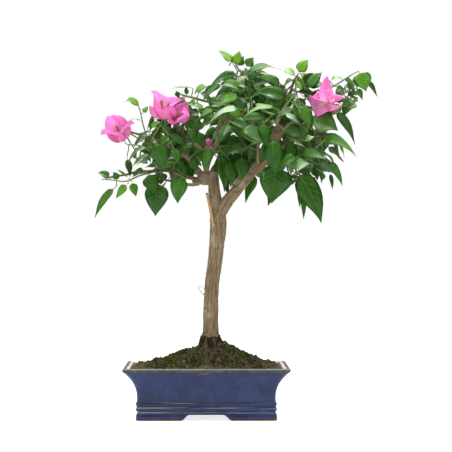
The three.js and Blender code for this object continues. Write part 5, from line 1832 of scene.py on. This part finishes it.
def build_sticks(settings):
    """The peeled dead stick at the fork, the peeled stub on the heavy bough and the curled dead
    twig low on the trunk."""
    bag = Bag()
    shares = np.linspace(0, 1, 26)
    stick = Bow(STICK[0], np.mean(STICK, axis=0) + np.array([0.6, -0.4, 0]), STICK[1]).at(shares)
    radii = STICK_RADII[0] + (STICK_RADII[1] - STICK_RADII[0]) * shares
    radii = radii + noise(np.column_stack([shares * 9, shares * 0, shares * 0]), 71) * 0.12
    bag.add(*tube(stick, radii, 14, 3, 0.05))
    bag.add(*tube(SmoothLine(PEELED_STUB).at(shares), 1.15 - 0.5 * shares, 8))
    peeled = Shader("peeled_wood")
    place = peeled.place()
    streaks = peeled.noise(peeled.scaled(place, (1, 1, 0.12)), 900, 3, 0.6)
    end = peeled.step(peeled.axis(place, "Z"), 0.2695, 0.2715)
    colour = peeled.mix(streaks, settings.peeled, (0.30, 0.16, 0.07))
    colour = peeled.mix(end * 0.8, colour, (0.08, 0.05, 0.03))
    material = peeled.finish(colour, streaks * 0.15 + 0.7, streaks, 0.0003)
    finish(bag.make("peeled_sticks", [material]), ["trunk"])
    bag = Bag()
    curl = SmoothLine(DEAD_TWIG).at(np.linspace(0, 1, 40))
    bag.add(*tube(curl, np.linspace(0.75, 0.4, 40), 8))
    dead = speckled("dead_twig", 0.5, (500, 2), ((0.16, 0.12, 0.08), (0.34, 0.28, 0.2)), (0.8, 0.1))
    finish(bag.make("dead_twig", [dead]), ["trunk"])


# Twigs, leaves and blossom

def add_twig(bag, line, base, tip, sides, phase):
    """A tube that thins towards its end, wavers by noise and swells a little at its nodes."""
    length = line.length()
    shares = np.linspace(0, 1, max(4, math.ceil(length / 2.2)) + 1)
    row = np.column_stack([shares * 3 + phase, shares * 0, shares * 0])
    bend = np.column_stack([noise(row, 81 + axis) for axis in range(3)])
    fade = (shares * (1 - shares) * 4)[:, None]
    points = line.at(shares) + bend * fade * min(1.4, length * 0.03)
    radii = base + (tip - base) * shares
    radii = radii * (1 + 0.13 * np.cos(shares * length / 7.5 * 2 * math.pi) ** 8)
    bag.add(*tube(points, radii, sides))


def build_twigs(settings):
    """Woody stems and twigs, and the green shoots that carry on from them."""
    woody, green = Bag(), Bag()
    for plant in crown().plants:
        stem, number = plant.stem, plant.number
        sunk = plant.bough_end - stem.tangent(0) * 1.2
        add_twig(woody, SmoothLine([sunk, *stem.at(np.linspace(0, 1, 8))]), 1.9, 1.0, 8, number)
        for place, line in enumerate(plant.twigs):
            add_twig(woody if place % 2 else green, line, 1.15, 0.6, 6, number + place)
        for place, line in enumerate(plant.shoots):
            add_twig(green, line, 1.05, 0.55, 6, number + place + 0.4)
        for place, line in enumerate(plant.finer):
            add_twig(green, line, 0.7, 0.42, 5, number + place * 1.7)
    for place, (line, (base, tip)) in enumerate(crown().seen_twigs):
        add_twig(green, line, base, tip, 8, place * 2.3)
    for place, line in enumerate(crown().joining):
        size = 0.5 + 0.012 * line.length()
        add_twig(green, line, size, min(size, 0.55), 6, place * 1.3)
    bark = speckled(
        "twig_bark", 0.2, (260, 4, 0.6),
        ((0.3, (0.07, 0.048, 0.026)), (0.55, settings.wood), (0.75, (0.26, 0.21, 0.13))),
        (0.75, 0.15), 0.0003)
    finish(woody.make("woody_twigs", [bark]), MASS_NAMES)
    skin = speckled(
        "shoot_skin", 0.25, (150, 3),
        ((0.3, (0.055, 0.10, 0.02)), (0.55, (0.10, 0.16, 0.035)), (0.75, (0.20, 0.17, 0.07))),
        (0.45, 0.15), 0.0002)
    finish(green.make("green_shoots", [skin]), MASS_NAMES)


def leaf_outline(share):
    """A leaf's half width as a share of its greatest: the share of its length to the power 0.62
    times what is left to the power 1.22, with the tip drawn out by a slim point."""
    body = share ** 0.62 * (1 - share) ** 1.22
    greatest = (0.62 / 1.84) ** 0.62 * (1.22 / 1.84) ** 1.22
    point = 0.36 * np.exp(-((share - 0.93) / 0.05) ** 2) * (1 - share) ** 2
    return body / greatest + point


def across_frame(line, across):
    """A line's directions, the across way squared to them, and the face way of both."""
    direction = unit(np.gradient(line, axis=0))
    across = unit(across - direction * (across * direction).sum(axis=1, keepdims=True))
    return across, np.cross(direction, across)


def leaf_surface(leaf, random, thickness):
    """A leaf as two grids. Along its length it follows the source's blade: out along its way and
    down with the square of the share, with a sideways sweep and a curled tip. Across, its halves
    fold up from the rib, bend down at their edges and wave. The lower grid lies a little under
    the upper one and meets it at the edge. A painted sheen, a pale highlight, is painted where the
    blade faces the sky. Gives both grids, the share along and across, the painted sheen, and the
    line of the stalk and rib."""
    sweep, curl, fold, droop_edge, waves, phase, twist, skew, wax = (
        random.uniform(*limits) for limits in BLADE_LIMITS)
    shares = np.concatenate([[0.0], 1 - (1 - np.linspace(0, 1, LEAF_ROWS)[1:]) ** 1.12])
    side = np.linspace(-1, 1, LEAF_COLUMNS)

    def rib_at(share):
        bend = share ** 2 * (1 - share)
        return (leaf.root + (leaf.along * share[:, None]) * leaf.length
                - UP * (leaf.length * leaf.droop * share ** 2)[:, None]
                + leaf.across * (leaf.length * sweep * bend * 2.2)[:, None]
                - leaf.face * (leaf.length * curl * np.maximum(0, share - 0.6) ** 2 * 4)[:, None])

    rib = rib_at(STALK_SHARE + (1 - STALK_SHARE) * shares)
    turn = (twist * shares)[:, None]
    across, face = across_frame(rib, leaf.across * np.cos(turn) + leaf.face * np.sin(turn))
    half = np.maximum(leaf.width / 2 * leaf_outline(shares), END_HALF)[:, None]
    share = shares[:, None]
    reach = side * (1 + skew * np.sign(side))
    wave = waves * leaf.width * np.sin(share * 9 + phase + (side > 0) * 2.1) * side ** 2
    rise = half * (fold * np.abs(side) - droop_edge * side ** 2) + wave * np.sin(share * math.pi)
    upper = rib[:, None] + across[:, None] * (half * reach)[..., None] + face[:, None] * rise[..., None]
    depth = thickness * (1 - side ** 2) * np.sin(np.clip(share, 0.02, 0.98) * math.pi)
    lower = upper - face[:, None] * depth[..., None]
    # Painted sheen: how far each point of the upper grid faces the sky sets the painted highlight.
    skyward = unit(np.cross(np.gradient(upper, axis=0), np.gradient(upper, axis=1)))[..., 2]
    shares_grid, sides_grid = np.meshgrid(shares, side, indexing="ij")
    stalk = rib_at(np.linspace(0, 1, 12)) - leaf.face * 0.12
    return upper, lower, shares_grid, sides_grid, wax * ease(skyward, *PAINTED_SHEEN_FACING), stalk


def side_veins(shader, count, slant, low, high):
    """How far along the blade and how far out from its rib a place lies, and the side veins: a
    count of bands along the blade that lean forward towards its edge."""
    along = shader.attribute("along")
    side = shader.math("ABSOLUTE", shader.attribute("across"))
    bands = shader.math("FRACT", along * count - side * slant + 8.0)
    return along, side, shader.near(bands, 0.5, low, high)


def leaf_material(name, colour, gloss, wax):
    """A leaf's upper side: its plain colour, a little lighter along the side veins, with a
    painted sheen, a pale highlight colour painted where the blade faces the sky, and a gloss that the
    veins' bump breaks up."""
    shader = Shader(name, 0.2)
    _, side, vein = side_veins(shader, 7.0, 1.7, 0.03, 0.12)
    cloud = shader.noise(shader.place(), 60, 3)
    lighter = [min(1, part * 1.5 + 0.012) for part in colour]
    darker = [part * 0.72 for part in colour]
    tone = shader.mix(shader.step(cloud, 0.3, 0.7), darker, colour)
    tone = shader.mix(vein * 0.30, tone, lighter)
    # Painted highlight: the pale sheen colour is mixed in where the blade faces the sky.
    tone = shader.mix(shader.attribute("wax") * PAINTED_SHEEN_SHARE, tone, wax)
    return shader.finish(tone, (cloud - 0.5) * 0.12 + gloss, side * 0.5 - vein * 0.5, 0.0004)


def build_leaves(settings):
    """All leaves, as four pieces by colour, dealt out leaf by leaf, and a piece of stalks and ribs."""
    kinds = {"deep": (settings.deep, 0.24), "full": (settings.middle, 0.25),
             "fresh": (settings.fresh, 0.30), "young": (settings.young, 0.36)}
    bags = {kind: Bag() for kind in kinds}
    ribs = Bag()
    random = np.random.default_rng(7)
    leaves = [leaf for plant in crown().plants for leaf in plant.leaves]
    radii = np.interp(np.linspace(0, 1, 12), (0, STALK_SHARE, 1), (0.55, 0.32, 0.05))
    for leaf in [*leaves, *crown().seen_leaves]:
        kind = leaf.kind or leaf_kind(leaf, random)
        upper, lower, along, across, wax, stalk = leaf_surface(leaf, random, settings.thickness / METRES)
        add_sheet(bags[kind], upper, lower, (0, 1), along=along, across=across, wax=wax)
        ribs.add(*tube(stalk, radii * leaf.length / 40, 5))
    under = leaf_material("leaf_underside", settings.underside, 0.6, settings.underside)
    for kind, (tone, gloss) in kinds.items():
        upper = leaf_material(f"leaf_{kind}", tone, gloss, settings.wax)
        finish(bags[kind].make(f"leaves_{kind}", [upper, under]), MASS_NAMES)
    tones = [[part * share for part in settings.rib] for share in (0.7, 1.2)]
    rib = speckled("leaf_rib", 0.2, (90, 2), tones, (0.45, 0.1))
    finish(ribs.make("leaf_stalks_and_ribs", [rib]), MASS_NAMES)


def leaf_kind(leaf, random):
    """The colour class of a leaf: young at the ends of shoots high and far out, and otherwise by
    how far out of the crown it sits."""
    chance = random.uniform(0, 1)
    out = np.linalg.norm((leaf.root - np.array([34.0, 5.0, 330.0])) / (150, 95, 100))
    if chance < 0.10 * out or (leaf.length < 27 and out > 0.75 and chance < 0.6):
        return "young"
    if chance < 0.34 * out:
        return "fresh"
    return "full" if chance < 0.72 else "deep"


def bract_outline(share):
    """A bract's half width: broad near its foot, with a short sharp tip."""
    return (share ** 0.5 * (1 - share) ** 0.9) / ((0.5 / 1.4) ** 0.5 * (0.9 / 1.4) ** 0.9)


def bract_surface(leaf, random):
    """A papery bract as two fine grids: cupped across and along, with soft creases that run out
    from its foot and a waved edge. Gives both grids and the share along and across."""
    shares = np.linspace(0, 1, BRACT_ROWS)
    side = np.linspace(-1, 1, BRACT_COLUMNS)
    phase = random.uniform(0, 6.28)
    cup = random.uniform(0.30, 0.5)
    backward = random.uniform(-0.10, 0.16)
    bulge = leaf.length * (0.20 * np.sin(shares * 2.2) - (0.18 + backward) * shares ** 2.5)
    rib = leaf.root + leaf.along * (leaf.length * shares)[:, None] + leaf.face * bulge[:, None]
    across, face = across_frame(rib, leaf.across[None])
    half = np.maximum(leaf.width * 0.56 * bract_outline(shares), END_HALF)[:, None]
    share = shares[:, None]
    creases = 0.035 * np.sin(side * 9 + phase + share * 2) * np.sin(share * 3.1)
    edge = 0.07 * np.sin(share * 8.5 + phase + side * 2) * side ** 4
    rise = leaf.width * (cup * side ** 2 * 0.5 * np.sin(share * 2.4) + creases + edge)
    rise = rise * np.minimum(1, half / leaf.width * 8)
    upper = rib[:, None] + across[:, None] * (half * side)[..., None] + face[:, None] * rise[..., None]
    lower = upper - face[:, None] * (BRACT_THICKNESS * (1 - side ** 8))[:, None]
    return upper, lower, *np.meshgrid(shares, side, indexing="ij")


def build_blossom(settings):
    """Papery bracts in threes round slender tubes, one tube to a bract."""
    bracts, tubes = Bag(), Bag()
    random = np.random.default_rng(17)
    shares = np.linspace(0, 1, 12)
    radii = np.interp(shares, (0, 0.25, 0.7, 0.92, 1), (0.8, 1.15, 0.95, 1.25, 0.7))
    for base, depth, tips in SEEN_FLOWERS:
        root = seen(base, depth)
        reaches = [seen(tip, tip_depth) - root for tip, tip_depth, _ in tips]
        axis = unit(sum(unit(reach) for reach in reaches))
        for reach, (_, _, width) in zip(reaches, tips):
            along = unit(reach)
            face = unit(axis - along * (axis @ along))
            length = float(np.linalg.norm(reach))
            bract = Leaf(0, root, along, face, length, width, BRACT_FOLD, BRACT_DROOP)
            upper, lower, along_grid, across_grid = bract_surface(bract, random)
            add_sheet(bracts, upper, lower, along=along_grid, across=across_grid)
            lean = unit(along - axis * (along @ axis))
            middle, end = (root + axis * length * out + lean * length * aside
                           for out, aside in ((0.3, 0.08), (0.58, 0.16)))
            tubes.add(*tube(Bow(root, middle, end).at(shares), radii * length / 32, 8, 5, 0.12))
    shader = Shader("papery_bract", 0.2)
    along, side, vein = side_veins(shader, 6.0, 2.2, 0.02, 0.10)
    rib = 1 - shader.step(side, 0.01, 0.06)
    vein = shader.math("MAXIMUM", vein * 0.5, rib)
    cloud = shader.noise(shader.place(), 140, 3)
    flush = shader.step(cloud + (1 - along) * 0.5 - side * 0.25, 0.55, 1.0)
    colour = shader.mix(flush * 0.6, settings.bract, settings.flush)
    colour = shader.mix(vein * 0.5, colour, (0.50, 0.07, 0.28))
    paper = shader.finish(colour, cloud * 0.15 + 0.5, vein + cloud * 0.4, 0.0003)
    finish(bracts.make("bracts", [paper]), MASS_NAMES)
    skin = speckled("flower_tube", 0.5, (300, 2), (settings.tube, (0.30, 0.16, 0.07)), (0.5, 0.2))
    finish(tubes.make("flower_tubes", [skin]), MASS_NAMES)


# The stage

def pointed(name, data, place, aim):
    """A new object in the scene, at a place, with its own -Z towards its aim and its Y upwards."""
    made = bpy.data.objects.new(name, data)
    made.location = place
    way = unit(np.array(aim) - place)
    made.rotation_euler = (math.acos(-way[2]), 0.0, -math.atan2(way[0], way[1]))
    bpy.context.scene.collection.objects.link(made)
    return made


def build_world(strength):
    """A room that is brightest above and dim below, with a white backdrop for the camera."""
    world = bpy.data.worlds.new("Studio")
    world.use_nodes = True
    sky = Nodes(world.node_tree)
    sky.tree.nodes.remove(sky.tree.nodes["Background"])
    height = sky.axis(sky.node("TexCoord", "Generated"), "Z")
    power = sky.node("MapRange", "Result", {
        "Value": height, "From Min": 0.35, "From Max": 1.0,
        "To Min": 0.22 * strength, "To Max": 3.6 * strength})
    room = sky.node("Background", 0, {"Color": WHITE, "Strength": power})
    backdrop = sky.node("Background", 0, {"Color": WHITE})
    either = sky.node("MixShader", 0, {0: sky.node("LightPath", "Is Camera Ray"), 1: room, 2: backdrop})
    sky.put(sky.tree.nodes["World Output"].inputs["Surface"], either)
    bpy.context.scene.world = world


def build_stage(settings):
    """A pale floor, a room that is brightest above, soft lights at the upper left, at the right
    and above, and the photo's camera."""
    scene = bpy.context.scene
    scene.view_settings.view_transform = "Standard"
    build_world(settings.sky)
    reach = np.linspace(-9000.0, 9000.0, 5)
    x, y = np.meshgrid(reach, reach)
    bag = Bag()
    bag.add(np.stack([x, y, np.full_like(x, -0.2)], axis=-1), grid_quads(np.arange(25).reshape(5, 5)))
    shader = Shader("pale_floor")
    tone = shader.noise(shader.place(), 6, 2)
    colour = shader.mix(tone, [part * 0.985 for part in settings.floor], settings.floor)
    shader.put(shader.inputs["Emission Color"], WHITE)
    shader.put(shader.inputs["Emission Strength"], settings.glow)
    bag.make("floor", [shader.finish(colour, tone * 0.1 + 0.85)])
    middle = (PLAN_ORIGIN + np.array([20, 0, 240])) * METRES
    for name, place, size, power in (
            ("key_light", (-1.1, -0.9, 2.3), 0.8, settings.key),
            ("fill_light", (1.6, -1.5, 1.7), 2.2, settings.key * 0.4),
            ("top_light", (0.25, 0.0, 2.4), 0.7, settings.key)):
        lamp = bpy.data.lights.new(name, "AREA")
        lamp.shape = "DISK"
        lamp.size = size
        lamp.energy = power
        pointed(name, lamp, place, middle)
    lens = bpy.data.cameras.new("camera")
    lens.sensor_width = 36
    lens.lens = FOCAL_PIXELS * 36 / PHOTO_SIZE
    lens.clip_end = 50
    place = PLAN_ORIGIN * METRES + np.array([0, -settings.distance, settings.height])
    aim = (PLAN_ORIGIN + np.array(CAMERA_AIM)) * METRES
    scene.camera = pointed("camera", lens, place, aim)


# Operators and panel

class BONSAI_OT_pot(Operator):
    """Make the glazed pot"""
    bl_idname = "bonsai.pot"
    bl_label = "Glazed pot"

    def execute(self, context):
        build_pot(context.scene.bonsai_pot)
        return {"FINISHED"}


class BONSAI_OT_soil(Operator):
    """Make the soil's mound"""
    bl_idname = "bonsai.soil"
    bl_label = "Soil"

    def execute(self, context):
        build_soil(context.scene.bonsai_soil)
        return {"FINISHED"}


class BONSAI_OT_ground_cover(Operator):
    """Make the crumbs, moss, grit and fibres on the soil"""
    bl_idname = "bonsai.ground_cover"
    bl_label = "Moss and crumbs"

    def execute(self, context):
        build_ground_cover(context.scene.bonsai_soil)
        return {"FINISHED"}


class BONSAI_OT_bark(Operator):
    """Make the trunk and boughs with the relief of their bark"""
    bl_idname = "bonsai.bark"
    bl_label = "Trunk and boughs"

    def execute(self, context):
        build_bark(context.scene.bonsai_bark)
        return {"FINISHED"}


class BONSAI_OT_sticks(Operator):
    """Make the peeled sticks and the dead twig"""
    bl_idname = "bonsai.sticks"
    bl_label = "Dead sticks"

    def execute(self, context):
        build_sticks(context.scene.bonsai_bark)
        return {"FINISHED"}


class BONSAI_OT_twigs(Operator):
    """Make the woody twigs and green shoots"""
    bl_idname = "bonsai.twigs"
    bl_label = "Twigs and shoots"

    def execute(self, context):
        build_twigs(context.scene.bonsai_leaf)
        return {"FINISHED"}


class BONSAI_OT_leaves(Operator):
    """Make the leaves with their stalks and ribs"""
    bl_idname = "bonsai.leaves"
    bl_label = "Leaves"

    def execute(self, context):
        build_leaves(context.scene.bonsai_leaf)
        return {"FINISHED"}


class BONSAI_OT_blossom(Operator):
    """Make the papery bracts and the flower tubes"""
    bl_idname = "bonsai.blossom"
    bl_label = "Blossom"

    def execute(self, context):
        build_blossom(context.scene.bonsai_blossom)
        return {"FINISHED"}


class BONSAI_OT_stage(Operator):
    """Set up the floor, the lights and the camera"""
    bl_idname = "bonsai.stage"
    bl_label = "Stage"

    def execute(self, context):
        build_stage(context.scene.bonsai_stage)
        return {"FINISHED"}


GROUPS = {
    "bonsai_pot": PotSettings, "bonsai_soil": SoilSettings, "bonsai_bark": BarkSettings,
    "bonsai_leaf": LeafSettings, "bonsai_blossom": BlossomSettings, "bonsai_stage": StageSettings,
}
OPERATORS = (
    BONSAI_OT_pot, BONSAI_OT_soil, BONSAI_OT_ground_cover, BONSAI_OT_bark, BONSAI_OT_sticks,
    BONSAI_OT_twigs, BONSAI_OT_leaves, BONSAI_OT_blossom, BONSAI_OT_stage,
)


class BONSAI_PT_pieces(Panel):
    """The plant's pieces and their settings"""
    bl_label = "Bougainvillea bonsai"
    bl_idname = "BONSAI_PT_pieces"
    bl_space_type = "VIEW_3D"
    bl_region_type = "UI"
    bl_category = "Bonsai"

    def draw(self, context):
        for operator in OPERATORS:
            self.layout.operator(operator.bl_idname)
        for name, group in GROUPS.items():
            box = self.layout.box()
            for setting in group.__annotations__:
                box.prop(getattr(context.scene, name), setting)


def register():
    for one in (*GROUPS.values(), *OPERATORS, BONSAI_PT_pieces):
        bpy.utils.register_class(one)
    for name, group in GROUPS.items():
        setattr(bpy.types.Scene, name, PointerProperty(type=group))


def unregister():
    for name in GROUPS:
        delattr(bpy.types.Scene, name)
    for one in (BONSAI_PT_pieces, *OPERATORS[::-1], *GROUPS.values()):
        bpy.utils.unregister_class(one)


def main():
    """Makes every piece in order."""
    register()
    for operator in OPERATORS:
        group, name = operator.bl_idname.split(".")
        getattr(getattr(bpy.ops, group), name)()


if __name__ == "__main__":
    main()
